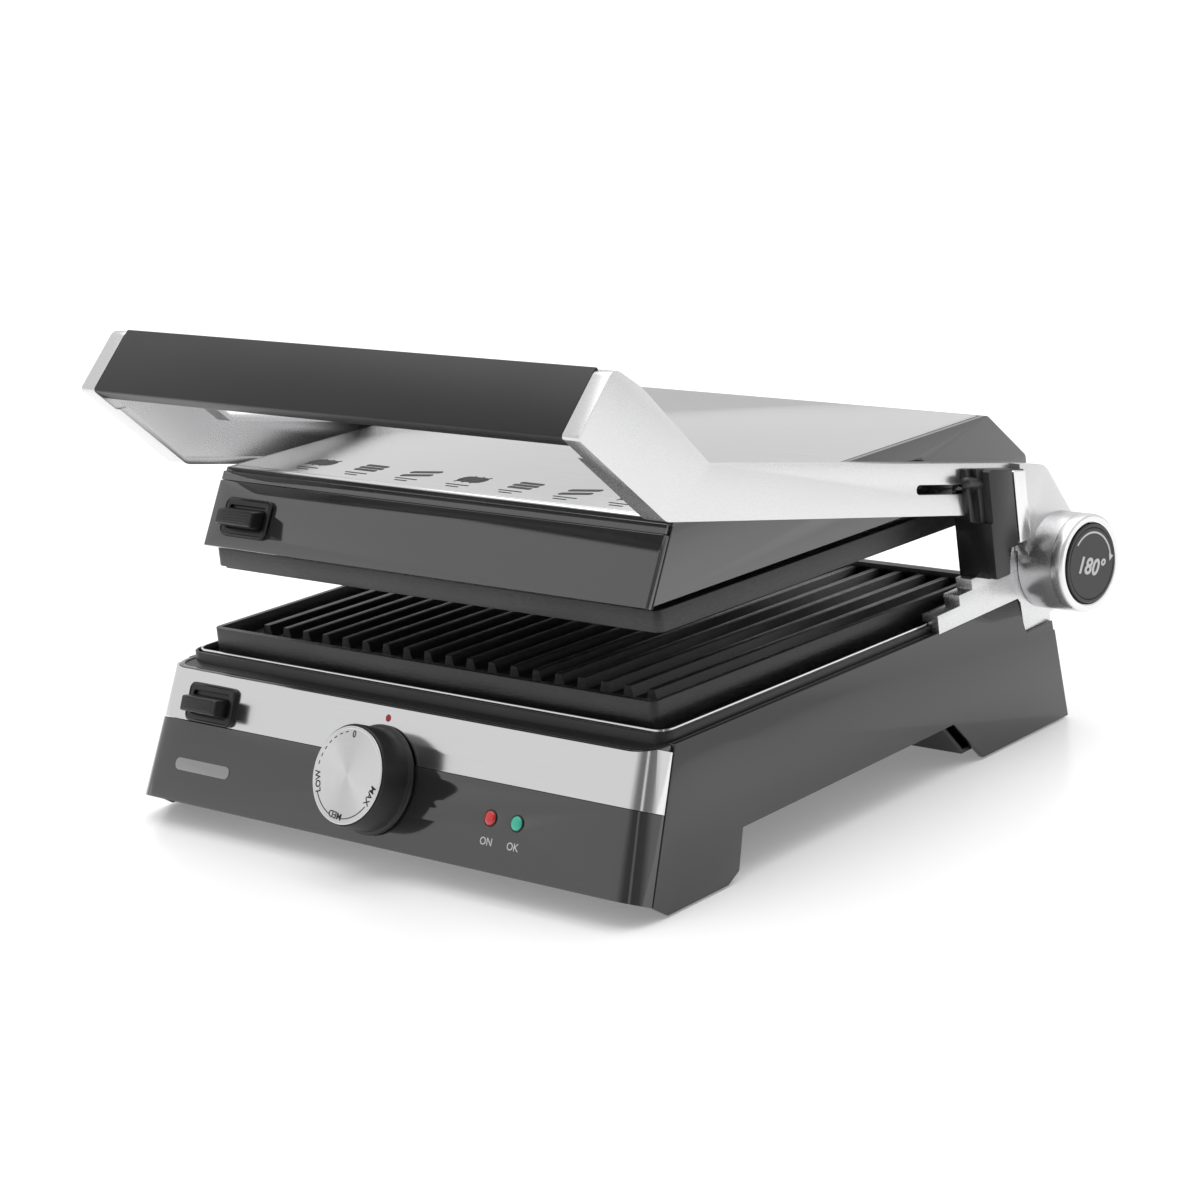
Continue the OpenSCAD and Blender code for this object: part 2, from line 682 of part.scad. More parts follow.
module lever_insert() {
  color("#e6e7e8") along_x(arm_face + 8.61, lever_out)
    polygon(rounded([[115, 97.3], [123.6, 97.3], [123.6, 130.3], [115, 132.4]], same(0.8, 4), 2));
}
module lever_stud() {
  color("#9c9ea0") on_arm() translate([0, slot_start, slot_z]) {
    rod_x(arm_face - 4.4, arm_face + 3.4, 1.98);
    rod_x(arm_face - 6.4, arm_face - 4.39, 4.5);
  }
}

// ---- head ---------------------------------------------------------------
head_rear = 118;
head_wall = 2.5;
module head_side() {
  polygon(rounded([[head_front, head_low], [head_front + (head_high - head_low) * tan(head_lean), head_high],
    [91, head_high], [head_rear, -5], [head_rear, -9], [head_rear - 5, head_low]], [0, 1, 4, 3, 1, 1], 4));
}
module head_cavity() {
  polygon([[head_front - 5, head_low - 1], [head_front - 5, head_high - 4], [90, head_high - 4],
    [114, -6], [114, -8], [109, head_low - 1]]);
}
post_x = [-134, 134];
post_y = [-90, 50];
module head_housing() {
  color(gunmetal) on_head() {
    for (x = post_x)
      for (y = post_y)
        translate([x, y, head_low + 12.4]) difference() {
          cylinder(h = head_high - head_low - 16.2, r = 4);
          translate([0, 0, -1]) cylinder(h = 10, r = 1.7);
        }
    difference() {
      along_x(-head_half, head_half) head_side();
      along_x(-head_half + head_wall, head_half - head_wall) head_cavity();
      // front is closed by its own fascia
      translate([0, head_front, head_low]) rotate([-head_lean, 0, 0])
        translate([-160, -30, -30]) cube([320, 33, 120]);
      // seat of the steel top plate
      translate([-146, -124, head_high - 1.2]) cube([292, 212, 5]);
      translate([-126, -104, head_high - 10]) cube([252, 172, 20]);
      // clearance for the pivot pins
      for (s = [-1, 1])
        translate([s * 150 - 5, 0, 0]) rod_x(0, 10, 4);
      // fascia clip holes are blind, the cable duct is at the rear
      translate([0, 100, 2]) rotate([-60, 0, 0]) cylinder(h = 30, r = 5);
    }
  }
}
head_face = (head_high - head_low) / cos(head_lean);
upper_button_x = -121;
upper_button_up = 15.5;
module head_fascia() {
  color("#6a6a6b") on_head_fascia() difference() {
    translate([0, 0, 0]) linear_extrude(head_face - 5.5)
      polygon(rounded([[-head_half, 2.9], [-head_half, 0], [head_half, 0], [head_half, 2.9]], [0, 2, 2, 0], 3));
    translate([upper_button_x - frame_w / 2 + 1.5, -3, upper_button_up - frame_h / 2 + 1.5])
      cube([frame_w - 3, 12, frame_h - 3]);
  }
  color("#4c4c4d") on_head_fascia() translate([-head_half + 1, 0.6, head_face - 5.3])
    cube([2 * head_half - 2, 2.2, 4.6]);
}
module head_top_plate() {
  color(steel) on_head() {
    translate([-145.6, -123.6, head_high - 1.2]) cube([291.2, 211.2, 1.8]);
  }
}
module upper_reflector() {
  color("#b9bbbd") on_head() difference() {
    translate([-140, -130, head_low - 1.6]) cube([280, 217, 14]);
    translate([-139, -129, head_low - 3]) cube([278, 215, 14.4]);
    for (x = post_x)
      for (y = post_y)
        translate([x, y, head_low]) cylinder(h = 20, r = 1.7);
  }
}
module upper_element() {
  color("#6f6a66") on_head() translate([0, -112, head_low + 8.1]) element_loop(105, 175, 30);
}
upper_front = -141.5;
upper_depth = 231;
module upper_plate() {
  outer = rounded([[-plate_half, 0], [plate_half, 0], [plate_half, upper_depth], [-plate_half, upper_depth]],
    [4, 4, 9, 9], 4);
  color(black) on_head() translate([0, upper_front, head_low - 3]) {
    difference() {
      union() {
        translate([0, 0, -9]) linear_extrude(9) polygon(outer);
        translate([0, 0, -10.5]) linear_extrude(1.51) polygon([for (p = outer) [p[0] * 0.99, 2.2 + p[1] * 0.981]]);
      }
      translate([-plate_half + 3, 3, -30]) cube([2 * plate_half - 6, upper_depth - 6, 25.5]);
      translate([-plate_half + 12, 12, -1.6]) cube([2 * plate_half - 24, upper_depth - 24, 5]);
    }
    rib_row(16, upper_depth - 8, -4.49, -9.4);
    translate([latch_end - 2.9, 1.5, -0.01]) cube([2.8, 1.9, 8]);
    translate([latch_end - 2.9, -0.6, 6]) cube([2.8, 4, 2]);
  }
}
module upper_button_frame() {
  color(black) on_head_fascia(upper_button_x, upper_button_up) difference() {
    union() {
      translate([0, -1.6, 0]) along_y(0, 1.6) polygon(rounded(box2(frame_w, frame_h), same(3.5, 4), 4));
      along_y(-0.01, 7) polygon(box2(frame_w - 3.4, frame_h - 3.4));
    }
    along_y(-3, 20) polygon(rounded(box2(button_w + 0.6, button_t + 0.6), same(1, 4), 2));
  }
}
module upper_release_button() color(black) on_head_fascia(upper_button_x, upper_button_up) push_button(3);
module upper_latch() {
  color("#b9bbbd") on_head() translate([latch_end, -142.4, head_low + 0.6]) {
    translate([-30, 0, 0]) cube([30, 2, 2.2]);
    translate([-26, 0, 0]) cube([6, 2, 3.5]);
  }
}
module head_pivots() {
  color("#9c9ea0") on_head() both_sides() {
    rod_x(144, arm_face - 3.1, 4);
    rod_x(141, 144.01, 7);
  }
}
module head_screws() {
  color("#8d8f92") on_head() for (x = post_x)
    for (y = post_y)
      translate([x, y, head_low + 9.2]) {
        cylinder(h = 2.2, r = 3.4);
        translate([0, 0, 2.19]) cylinder(h = 8, r = 1.6);
      }
}
module thermal_fuse() {
  color("#d8d4c8") on_head() {
    translate([-14, 10, head_low + 12.6]) cube([28, 10, 7]);
  }
}

base_housing();
rear_step();
deck_lip();
deck_bezel();
fascia_strip();
fascia_panel();
bottom_cover();
rubber_feet();
lower_reflector();
lower_element();
lower_plate();
lower_button_frame();
power_lamp();
ready_lamp();
thermostat();
terminal_block();
cable_inlet();
hinge_bracket_left();
hinge_bracket_right();
hinge_pins();
base_screws();
knob_body();
knob_cap();
knob_shaft();
lower_release_button();
lower_latch();
drip_tray();
arm_left();
arm_right();
handle_cover();
handle_grip();
hub_ring_left();
hub_ring_right();
hub_cap_left();
hinge_button();
height_lever();
lever_insert();
lever_stud();
head_housing();
head_fascia();
head_top_plate();
upper_reflector();
upper_element();
upper_plate();
upper_button_frame();
head_pivots();
head_screws();
thermal_fuse();
upper_release_button();
upper_latch();
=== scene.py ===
"""Contact grill with a floating head: the visual model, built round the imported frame."""
import json
import logging
import math
from dataclasses import dataclass, field
from enum import Enum
from typing import Iterable, Optional, Sequence

import bmesh
import bpy
from mathutils import Matrix, Vector


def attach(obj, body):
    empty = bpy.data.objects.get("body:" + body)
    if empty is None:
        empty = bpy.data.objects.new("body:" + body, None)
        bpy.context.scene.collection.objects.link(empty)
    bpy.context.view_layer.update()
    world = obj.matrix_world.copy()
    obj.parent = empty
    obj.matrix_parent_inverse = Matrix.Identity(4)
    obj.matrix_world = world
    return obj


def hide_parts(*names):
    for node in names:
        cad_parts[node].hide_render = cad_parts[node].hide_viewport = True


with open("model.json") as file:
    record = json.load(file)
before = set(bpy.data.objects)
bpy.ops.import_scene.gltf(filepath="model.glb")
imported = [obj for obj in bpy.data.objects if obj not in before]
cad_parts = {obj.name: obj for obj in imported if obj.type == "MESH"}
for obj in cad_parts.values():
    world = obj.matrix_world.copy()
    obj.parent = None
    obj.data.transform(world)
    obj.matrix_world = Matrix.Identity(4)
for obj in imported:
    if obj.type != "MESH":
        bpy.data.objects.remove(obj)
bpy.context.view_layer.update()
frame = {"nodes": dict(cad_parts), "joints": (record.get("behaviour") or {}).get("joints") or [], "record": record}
LOG = logging.getLogger("contact_grill")
MM = 0.001
# Distances in metres under which doubled points are one: on a turned shape, and on a CAD node.
TURNED_MERGE_M = 1e-7
NODE_MERGE_M = 2e-6
# Facets closer to flat than this, in degrees, are made one face again.
FLAT_DEGREES = 0.6
# A letter's em size over the height of its capitals.
EM_PER_CAPITAL = 1.38
# How far printed ink stands off its surface, in millimetres.
INK_MM = 0.12
NODE_SLOT = {row["node"]: row["material_slot"] for row in frame["record"]["subparts"]}
NODE_BODY = {node: body for body, nodes in frame["record"]["behaviour"]["bodies"].items() for node in nodes}
JOINTS = {row["name"]: row for row in frame["joints"]}


def turned(degrees: float, axis: str) -> Matrix:
    """A 4 x 4 rotation about one axis through the origin."""
    return Matrix.Rotation(math.radians(degrees), 4, axis)


def moved(x: float, y: float, z: float) -> Matrix:
    """A 4 x 4 translation, in millimetres."""
    return Matrix.Translation(Vector((x, y, z)) * MM)


def at_joint(name: str) -> Matrix:
    """A translation to a joint's own point."""
    return Matrix.Translation(Vector(JOINTS[name]["pos_m"]))


# Leans of the sloped faces and the places they start from, in degrees and millimetres.
FASCIA_LEAN = 25.5
PLATE_FALL = 2.1
ARM_LIFT = 14.4
HEAD_LEAN = 28.0
FASCIA = moved(0, -163.8, 0) @ turned(-FASCIA_LEAN, "X")
ARM = at_joint("arm_hinge") @ turned(-ARM_LIFT, "X")
HEAD = at_joint("head_tilt") @ turned(-PLATE_FALL, "X")
HEAD_FASCIA = HEAD @ moved(0, -148.3, -14) @ turned(-HEAD_LEAN, "X")
LOWER_KEY = FASCIA @ moved(-123.3, 0, 63.8)
UPPER_KEY = HEAD_FASCIA @ moved(-121.0, 0, 15.5)
# Turns local +Z to face out of a fascia.
FACE_OUT = turned(90, "X")


# ---- finishes -------------------------------------------------------------
def linear(hex_colour: str) -> tuple[float, float, float, float]:
    """Turn an sRGB hex colour to linear values.

    Args:
        hex_colour: six hex digits, with or without a leading mark.

    Returns:
        Red, green, blue and a full alpha.
    """
    digits = hex_colour.lstrip("#")
    values = [int(digits[i:i + 2], 16) / 255 for i in (0, 2, 4)]
    red, green, blue = [v / 12.92 if v <= 0.04045 else ((v + 0.055) / 1.055) ** 2.4 for v in values]
    return red, green, blue, 1.0


def add_node(tree: bpy.types.NodeTree, kind: str, settings: Optional[dict] = None,
             links: Optional[dict] = None) -> bpy.types.Node:
    """Add one shader node, set it up and link its inputs.

    Args:
        tree: the node tree to add to.
        kind: the node's type name.
        settings: attribute or input names to values.
        links: input names to the output sockets that feed them.

    Returns:
        The new node.
    """
    made = tree.nodes.new(kind)
    for name, value in (settings or {}).items():
        if hasattr(made, name):
            setattr(made, name, value)
        else:
            made.inputs[name].default_value = value
    for name, source in (links or {}).items():
        tree.links.new(source, made.inputs[name])
    return made


# Broad cloudiness per metre, and the parts of each noise's range that hold nearly all of it.
BROAD_PER_M = 18.0
NOISE_SUM = (0.6, 1.4)
NOISE_SPAN = (0.3, 0.72)


class Grain(Enum):
    """How a surface was made, which settles its fine pattern."""
    SMOOTH = "smooth"
    LACQUERED = "lacquered"
    MOULDED = "moulded"
    CAST = "cast"
    BRUSHED = "brushed"
    SPUN = "spun"


@dataclass(frozen=True)
class Finish:
    """One real material and the way its surface was made.

    scale_mm is the real size of the pattern's grains or scratches, stretch makes them
    longer along one axis, and depth_mm is how deep they are cut.
    """
    name: str
    colour: str
    grain: Grain = Grain.SMOOTH
    metallic: float = 0.0
    roughness: float = 0.4
    spread: float = 0.06
    scale_mm: float = 1.0
    stretch: tuple[float, float, float] = (1.0, 1.0, 1.0)
    depth_mm: float = 0.01
    second: Optional[str] = None
    coat: float = 0.0
    coat_roughness: float = 0.05
    anisotropic: float = 0.0
    glow: float = 0.0

    def build(self) -> bpy.types.Material:
        """Make the Blender material."""
        material = bpy.data.materials.new(self.name)
        material.use_nodes = True
        tree = material.node_tree
        shader = tree.nodes["Principled BSDF"]
        shader.inputs["Base Color"].default_value = linear(self.colour)
        shader.inputs["Metallic"].default_value = self.metallic
        shader.inputs["Roughness"].default_value = self.roughness
        shader.inputs["Coat Weight"].default_value = self.coat
        shader.inputs["Coat Roughness"].default_value = self.coat_roughness
        shader.inputs["Anisotropic"].default_value = self.anisotropic
        if self.glow:
            shader.inputs["Emission Color"].default_value = linear(self.colour)
            shader.inputs["Emission Strength"].default_value = self.glow
        place = add_node(tree, "ShaderNodeTexCoord")
        if self.grain is Grain.SPUN:
            self.spin_marks(tree, shader, place)
        else:
            self.grains(tree, shader, place)
        return material

    def grains(self, tree: bpy.types.NodeTree, shader: bpy.types.Node, place: bpy.types.Node) -> None:
        """Vary colour, roughness and height with a noise of the real grain size."""
        grid = add_node(tree, "ShaderNodeMapping", {"Scale": self.stretch},
                        {"Vector": place.outputs["Object"]})
        fine = add_node(tree, "ShaderNodeTexNoise", {"Scale": 1 / (self.scale_mm * MM), "Detail": 3.0,
                                                     "Roughness": 0.6}, {"Vector": grid.outputs["Vector"]})
        broad = add_node(tree, "ShaderNodeTexNoise", {"Scale": BROAD_PER_M, "Detail": 2.0},
                         {"Vector": place.outputs["Object"]})
        blend = add_node(tree, "ShaderNodeMath", {"operation": "ADD"},
                         {0: fine.outputs["Fac"], 1: broad.outputs["Fac"]})
        rough = add_node(tree, "ShaderNodeMapRange", {"From Min": NOISE_SUM[0], "From Max": NOISE_SUM[1],
                                                      "To Min": max(0.02, self.roughness - self.spread),
                                                      "To Max": min(1.0, self.roughness + self.spread)},
                         {"Value": blend.outputs["Value"]})
        tree.links.new(rough.outputs["Result"], shader.inputs["Roughness"])
        ramp = add_node(tree, "ShaderNodeValToRGB", {}, {"Fac": fine.outputs["Fac"]})
        ramp.color_ramp.elements[0].position = NOISE_SPAN[0]
        ramp.color_ramp.elements[1].position = NOISE_SPAN[1]
        ramp.color_ramp.elements[0].color = linear(self.colour)
        ramp.color_ramp.elements[1].color = linear(self.second or self.colour)
        tree.links.new(ramp.outputs["Color"], shader.inputs["Base Color"])
        if self.depth_mm > 0:
            bump = add_node(tree, "ShaderNodeBump", {"Strength": 1.0, "Distance": self.depth_mm * MM},
                            {"Height": fine.outputs["Fac"]})
            tree.links.new(bump.outputs["Normal"], shader.inputs["Normal"])

    def spin_marks(self, tree: bpy.types.NodeTree, shader: bpy.types.Node, place: bpy.types.Node) -> None:
        """Turning marks that follow the piece's own polar UV map."""
        grid = add_node(tree, "ShaderNodeMapping", {"Scale": (2.0, 1 / (self.scale_mm * MM), 1.0)},
                        {"Vector": place.outputs["UV"]})
        fine = add_node(tree, "ShaderNodeTexNoise", {"Scale": 1.0, "Detail": 2.0},
                        {"Vector": grid.outputs["Vector"]})
        rough = add_node(tree, "ShaderNodeMapRange", {"To Min": self.roughness - self.spread,
                                                      "To Max": self.roughness + self.spread},
                         {"Value": fine.outputs["Fac"]})
        bump = add_node(tree, "ShaderNodeBump", {"Strength": 0.6, "Distance": self.depth_mm * MM},
                        {"Height": fine.outputs["Fac"]})
        turn = add_node(tree, "ShaderNodeTangent", {"direction_type": "UV_MAP", "uv_map": POLAR_MAP})
        tree.links.new(rough.outputs["Result"], shader.inputs["Roughness"])
        tree.links.new(bump.outputs["Normal"], shader.inputs["Normal"])
        tree.links.new(turn.outputs["Tangent"], shader.inputs["Tangent"])


POLAR_MAP = "polar"
FINISHES: dict[str, Finish] = {
    # Pearl lacquer over pressed steel: a dark grey mirror with a fine metallic sparkle.
    "body_paint": Finish("gunmetal_lacquer_on_steel", "#515152", Grain.LACQUERED, metallic=0.75,
                         roughness=0.1, spread=0.015, scale_mm=0.35, second="#575758", depth_mm=0.0,
                         coat=0.4),
    # Spark-eroded ABS: a fine even grain that breaks the highlight.
    "black_plastic": Finish("black_moulded_abs", "#121213", Grain.MOULDED, roughness=0.38, scale_mm=0.5,
                            depth_mm=0.02, second="#171718"),
    # Stainless sheet brushed left to right: long hair lines that smear reflections upward.
    "steel_trim": Finish("brushed_stainless_sheet", "#DEDEDF", Grain.BRUSHED, metallic=1.0, roughness=0.15,
                         spread=0.04, scale_mm=0.5, stretch=(0.012, 1.0, 1.0), depth_mm=0.002,
                         second="#DCDCDD"),
    # Soft rubber: deep black, no highlight.
    "foot_rubber": Finish("moulded_rubber", "#0F0F0F", Grain.MOULDED, roughness=0.8, scale_mm=0.8,
                          depth_mm=0.03),
    # Aluminised sheet, pressed: bright with a soft ripple.
    "reflector_metal": Finish("aluminised_steel_sheet", "#B9BBBD", Grain.SMOOTH, metallic=1.0, roughness=0.22,
                              scale_mm=4.0, depth_mm=0.02),
    # Steel tube that has been hot: dull, browned.
    "element_sheath": Finish("heat_tinted_steel_tube", "#6F6A66", Grain.SMOOTH, metallic=1.0, roughness=0.45,
                             scale_mm=3.0, second="#5A4E46", depth_mm=0.01),
    # Die-cast aluminium under a sprayed non-stick coat: orange-peel black with a grey sheen.
    "plate_coating": Finish("non_stick_coated_casting", "#19191A", Grain.CAST, roughness=0.36, spread=0.1,
                            scale_mm=1.1, stretch=(0.3, 0.3, 1.4), second="#2C2C2D", depth_mm=0.14),
    # Clear acrylic lenses.
    "lamp_red": Finish("red_acrylic_lens", "#B0161A", Grain.SMOOTH, roughness=0.12, depth_mm=0.0,
                       coat=0.6, glow=0.35),
    "lamp_green": Finish("green_acrylic_lens", "#1E9E83", Grain.SMOOTH, roughness=0.12, depth_mm=0.0,
                         coat=0.6, glow=0.35),
    # Bright zinc plate on turned steel.
    "zinc_plate": Finish("zinc_plated_steel", "#B4B6B8", Grain.SMOOTH, metallic=1.0, roughness=0.2,
                         scale_mm=2.0, depth_mm=0.005),
    "ceramic_white": Finish("steatite_insulator", "#E4E0D6", Grain.CAST, roughness=0.6, scale_mm=1.0,
                            depth_mm=0.02),
    # Silver lacquer on an aluminium die casting: satin, with a faint grain under it.
    "cast_satin": Finish("satin_silver_lacquer_on_casting", "#D0D0D1", Grain.CAST, metallic=0.9,
                         roughness=0.28, spread=0.04, scale_mm=0.5, depth_mm=0.005,
                         second="#D8D8D9", coat=0.15),
    # Turned bright aluminium: the lathe's marks draw a bow-tie highlight.
    "cap_metal": Finish("turned_bright_aluminium", "#DADADB", Grain.SPUN, metallic=1.0, roughness=0.3,
                        spread=0.06, scale_mm=0.25, depth_mm=0.004, anisotropic=0.95),
    "brass": Finish("machined_brass", "#B5A06A", Grain.SMOOTH, metallic=1.0, roughness=0.25, scale_mm=1.0,
                    depth_mm=0.004),
    # Satin lacquer on the handle's front: near black with a soft pearl grain.
    "handle_paint": Finish("satin_grey_lacquer", "#131314", Grain.LACQUERED, metallic=0.1, roughness=0.46,
                           spread=0.04, scale_mm=0.45, second="#1A1A1B", depth_mm=0.004),
    "grip_plastic": Finish("satin_black_abs", "#202021", Grain.MOULDED, roughness=0.36, scale_mm=0.6,
                           depth_mm=0.015, second="#262627"),
}
# Printed and pad-printed marks: thin matt ink.
INK_DARK = Finish("dark_printing_ink", "#1E1E1F", Grain.SMOOTH, roughness=0.6, depth_mm=0.0)
INK_RED = Finish("red_printing_ink", "#B3221F", Grain.SMOOTH, roughness=0.5, depth_mm=0.0)
INK_PALE = Finish("pale_printing_ink", "#C9C9CA", Grain.SMOOTH, roughness=0.5, depth_mm=0.0)
# Two copies of the same gunmetal lacquer: darker on the base as painted shade, paler on the head's flat panels as
# painted light, for how each is lit.
BASE_PAINT_SHADED = Finish("gunmetal_lacquer_painted_shade", "#444445", Grain.LACQUERED, metallic=0.75, roughness=0.1,
                    spread=0.015, scale_mm=0.35, second="#49494A", depth_mm=0.0, coat=0.4)
HEAD_PAINT_LIT = Finish("gunmetal_lacquer_painted_light", "#5C5C5D", Grain.LACQUERED, metallic=0.75, roughness=0.1,
                    spread=0.015, scale_mm=0.35, second="#626263", depth_mm=0.0, coat=0.4)
# Stainless sheet brushed along the width, on the head's cover.
TOP_STEEL = Finish("brushed_stainless_cover", "#D6D6D7", Grain.BRUSHED, metallic=1.0, roughness=0.17,
                   spread=0.05, scale_mm=0.5, stretch=(0.012, 1.0, 1.0), depth_mm=0.0015, second="#DEDEDF")
# Polished stainless: a clear mirror, on the rail and the tray under the plate.
RAIL_STEEL = Finish("polished_stainless_rail", "#E4E4E5", Grain.SMOOTH, metallic=1.0, roughness=0.1,
                    scale_mm=3.0, depth_mm=0.003)
# Satin printed badge: a mid grey that lifts off the dark panel.
BADGE_GREY = Finish("satin_printed_badge", "#9A9A9B", Grain.SMOOTH, metallic=0.6, roughness=0.35,
                    depth_mm=0.0)
# Lacquered hub casting: the same silver as the arms, a little brighter where it is turned.
HUB_SILVER = Finish("silver_lacquer_on_turned_hub", "#E2E2E3", Grain.SPUN, metallic=0.95, roughness=0.26,
                    spread=0.04, scale_mm=0.4, depth_mm=0.003, anisotropic=0.4, coat=0.15)
# The same silver without turning marks, for flat trim.
HUB_PLAIN = Finish("silver_lacquer_trim", "#E2E2E3", Grain.SMOOTH, metallic=0.95, roughness=0.2,
                   spread=0.03, scale_mm=2.0, depth_mm=0.0)
# Glossy white board that glows a little, so its far part stays white.
FLOOR_BOARD = Finish("white_sweep_board", "#FFFFFF", Grain.SMOOTH, roughness=0.24, spread=0.0,
                     scale_mm=40.0, depth_mm=0.0, glow=0.22)
MADE: dict[str, bpy.types.Material] = {}


def material_of(finish: Finish) -> bpy.types.Material:
    """The one Blender material of a finish, made when first asked for."""
    if finish.name not in MADE:
        MADE[finish.name] = finish.build()
    return MADE[finish.name]


# ---- mesh helpers ---------------------------------------------------------
def put_in_scene(mesh: bmesh.types.BMesh, name: str, place: Matrix = Matrix.Identity(4),
                 smooth_below: float = 32.0) -> bpy.types.Object:
    """Turn a bmesh into an object at the origin, with its place in its mesh.

    Args:
        mesh: the finished bmesh, which is freed.
        name: the piece's name.
        place: the transform given to the mesh.
        smooth_below: edges flatter than this many degrees are shaded smooth.

    Returns:
        The new object, linked to the scene.
    """
    mesh.transform(place)
    if place.determinant() < 0:
        bmesh.ops.reverse_faces(mesh, faces=mesh.faces)
    for face in mesh.faces:
        face.smooth = True
    for edge in mesh.edges:
        flat = len(edge.link_faces) == 2 and math.degrees(edge.calc_face_angle(0.0)) < smooth_below
        edge.smooth = flat
    data = bpy.data.meshes.new(name)
    mesh.to_mesh(data)
    mesh.free()
    piece = bpy.data.objects.new(name, data)
    bpy.context.scene.collection.objects.link(piece)
    return piece


def soften(mesh: bmesh.types.BMesh, radius_mm: float, segments: int = 2,
           sharper_than: float = 28.0) -> None:
    """Round every edge that is sharper than an angle."""
    edges = [e for e in mesh.edges if len(e.link_faces) == 2
             and math.degrees(e.calc_face_angle(0.0)) > sharper_than]
    if edges and radius_mm > 0:
        bmesh.ops.bevel(mesh, geom=edges, offset=radius_mm * MM, offset_type="OFFSET", affect="EDGES",
                        segments=segments, profile=0.5, material=-1, clamp_overlap=True)


def block(size: Sequence[float], radius_mm: float = 0.4, segments: int = 2) -> bmesh.types.BMesh:
    """A rounded block, with its size in millimetres."""
    mesh = bmesh.new()
    bmesh.ops.create_cube(mesh, size=1.0)
    bmesh.ops.scale(mesh, vec=Vector(size) * MM, verts=mesh.verts)
    soften(mesh, radius_mm, segments)
    return mesh


def tablet(width: float, height: float, corner: float, thick: float,
           edge: float = 0.2) -> bmesh.types.BMesh:
    """A thin slab with rounded corners, its back on Z = 0, in millimetres."""
    mesh = bmesh.new()
    bmesh.ops.create_cube(mesh, size=1.0)
    bmesh.ops.scale(mesh, vec=Vector((width, height, thick)) * MM, verts=mesh.verts)
    bmesh.ops.translate(mesh, vec=(0, 0, thick * MM / 2), verts=mesh.verts)
    upright = [e for e in mesh.edges if abs(e.verts[0].co.z - e.verts[1].co.z) > thick * MM / 2]
    bmesh.ops.bevel(mesh, geom=upright, offset=corner * MM, offset_type="OFFSET", affect="EDGES",
                    segments=6, profile=0.5, material=-1, clamp_overlap=True)
    top = [e for e in mesh.edges if all(v.co.z > thick * MM * 0.9 for v in e.verts)]
    if edge > 0:
        bmesh.ops.bevel(mesh, geom=top, offset=edge * MM, offset_type="OFFSET", affect="EDGES",
                        segments=2, profile=0.5, material=-1, clamp_overlap=True)
    return mesh


def turned_piece(profile: Sequence[tuple[float, float]], steps: int = 96) -> bmesh.types.BMesh:
    """A closed turned shape about Z.

    Args:
        profile: radius and height in millimetres, from the axis out and back to the axis.
        steps: the number of facets round the axis.

    Returns:
        The closed, outward-facing mesh.
    """
    mesh = bmesh.new()
    corners = [mesh.verts.new((r * MM, 0, z * MM)) for r, z in profile]
    edges = [mesh.edges.new(pair) for pair in zip(corners, corners[1:])]
    bmesh.ops.spin(mesh, geom=corners + edges, cent=(0, 0, 0), axis=(0, 0, 1), angle=math.tau,
                   steps=steps, use_merge=True)
    bmesh.ops.remove_doubles(mesh, verts=mesh.verts, dist=TURNED_MERGE_M)
    bmesh.ops.recalc_face_normals(mesh, faces=mesh.faces)
    return mesh


def ring(outer: float, inner: float, low: float, high: float, edge: float = 0.3,
         steps: int = 96) -> bmesh.types.BMesh:
    """A turned ring with small chamfers, in millimetres."""
    return turned_ring([(inner, low), (outer, low), (outer, high - edge), (outer - edge, high),
                        (inner + edge, high), (inner, high - edge)], steps)


def turned_ring(profile: Sequence[tuple[float, float]], steps: int = 96) -> bmesh.types.BMesh:
    """A turned shape whose profile is a closed loop that stays off the axis."""
    mesh = bmesh.new()
    corners = [mesh.verts.new((r * MM, 0, z * MM)) for r, z in profile]
    edges = [mesh.edges.new((corners[i], corners[(i + 1) % len(corners)])) for i in range(len(corners))]
    bmesh.ops.spin(mesh, geom=corners + edges, cent=(0, 0, 0), axis=(0, 0, 1), angle=math.tau,
                   steps=steps, use_merge=True)
    bmesh.ops.remove_doubles(mesh, verts=mesh.verts, dist=TURNED_MERGE_M)
    bmesh.ops.recalc_face_normals(mesh, faces=mesh.faces)
    return mesh


def polar_uv(piece: bpy.types.Object, centre: Vector, axis: Vector) -> None:
    """Give a turned piece a UV map of angle and radius about its axis.

    Args:
        piece: the object to map.
        centre: a point on the axis.
        axis: the axis direction.
    """
    axis = axis.normalized()
    across = axis.orthogonal().normalized()
    up = axis.cross(across)
    layer = piece.data.uv_layers.new(name=POLAR_MAP)
    for polygon in piece.data.polygons:
        middle = polygon.center - centre
        base = math.atan2(middle.dot(up), middle.dot(across)) / math.tau
        for loop in polygon.loop_indices:
            arm = piece.data.vertices[piece.data.loops[loop].vertex_index].co - centre
            flat = arm - axis * arm.dot(axis)
            angle = math.atan2(flat.dot(up), flat.dot(across)) / math.tau if flat.length > 1e-6 else base
            angle += round(base - angle)
            layer.data[loop].uv = (angle, flat.length + 0.3 * arm.dot(axis))


def merged(meshes: Iterable[bmesh.types.BMesh]) -> bmesh.types.BMesh:
    """Join several bmeshes into one."""
    whole = bmesh.new()
    for mesh in meshes:
        data = bpy.data.meshes.new("part")
        mesh.to_mesh(data)
        mesh.free()
        whole.from_mesh(data)
        bpy.data.meshes.remove(data)
    return whole


def shifted(mesh: bmesh.types.BMesh, place: Matrix) -> bmesh.types.BMesh:
    """The same bmesh after a transform."""
    mesh.transform(place)
    return mesh


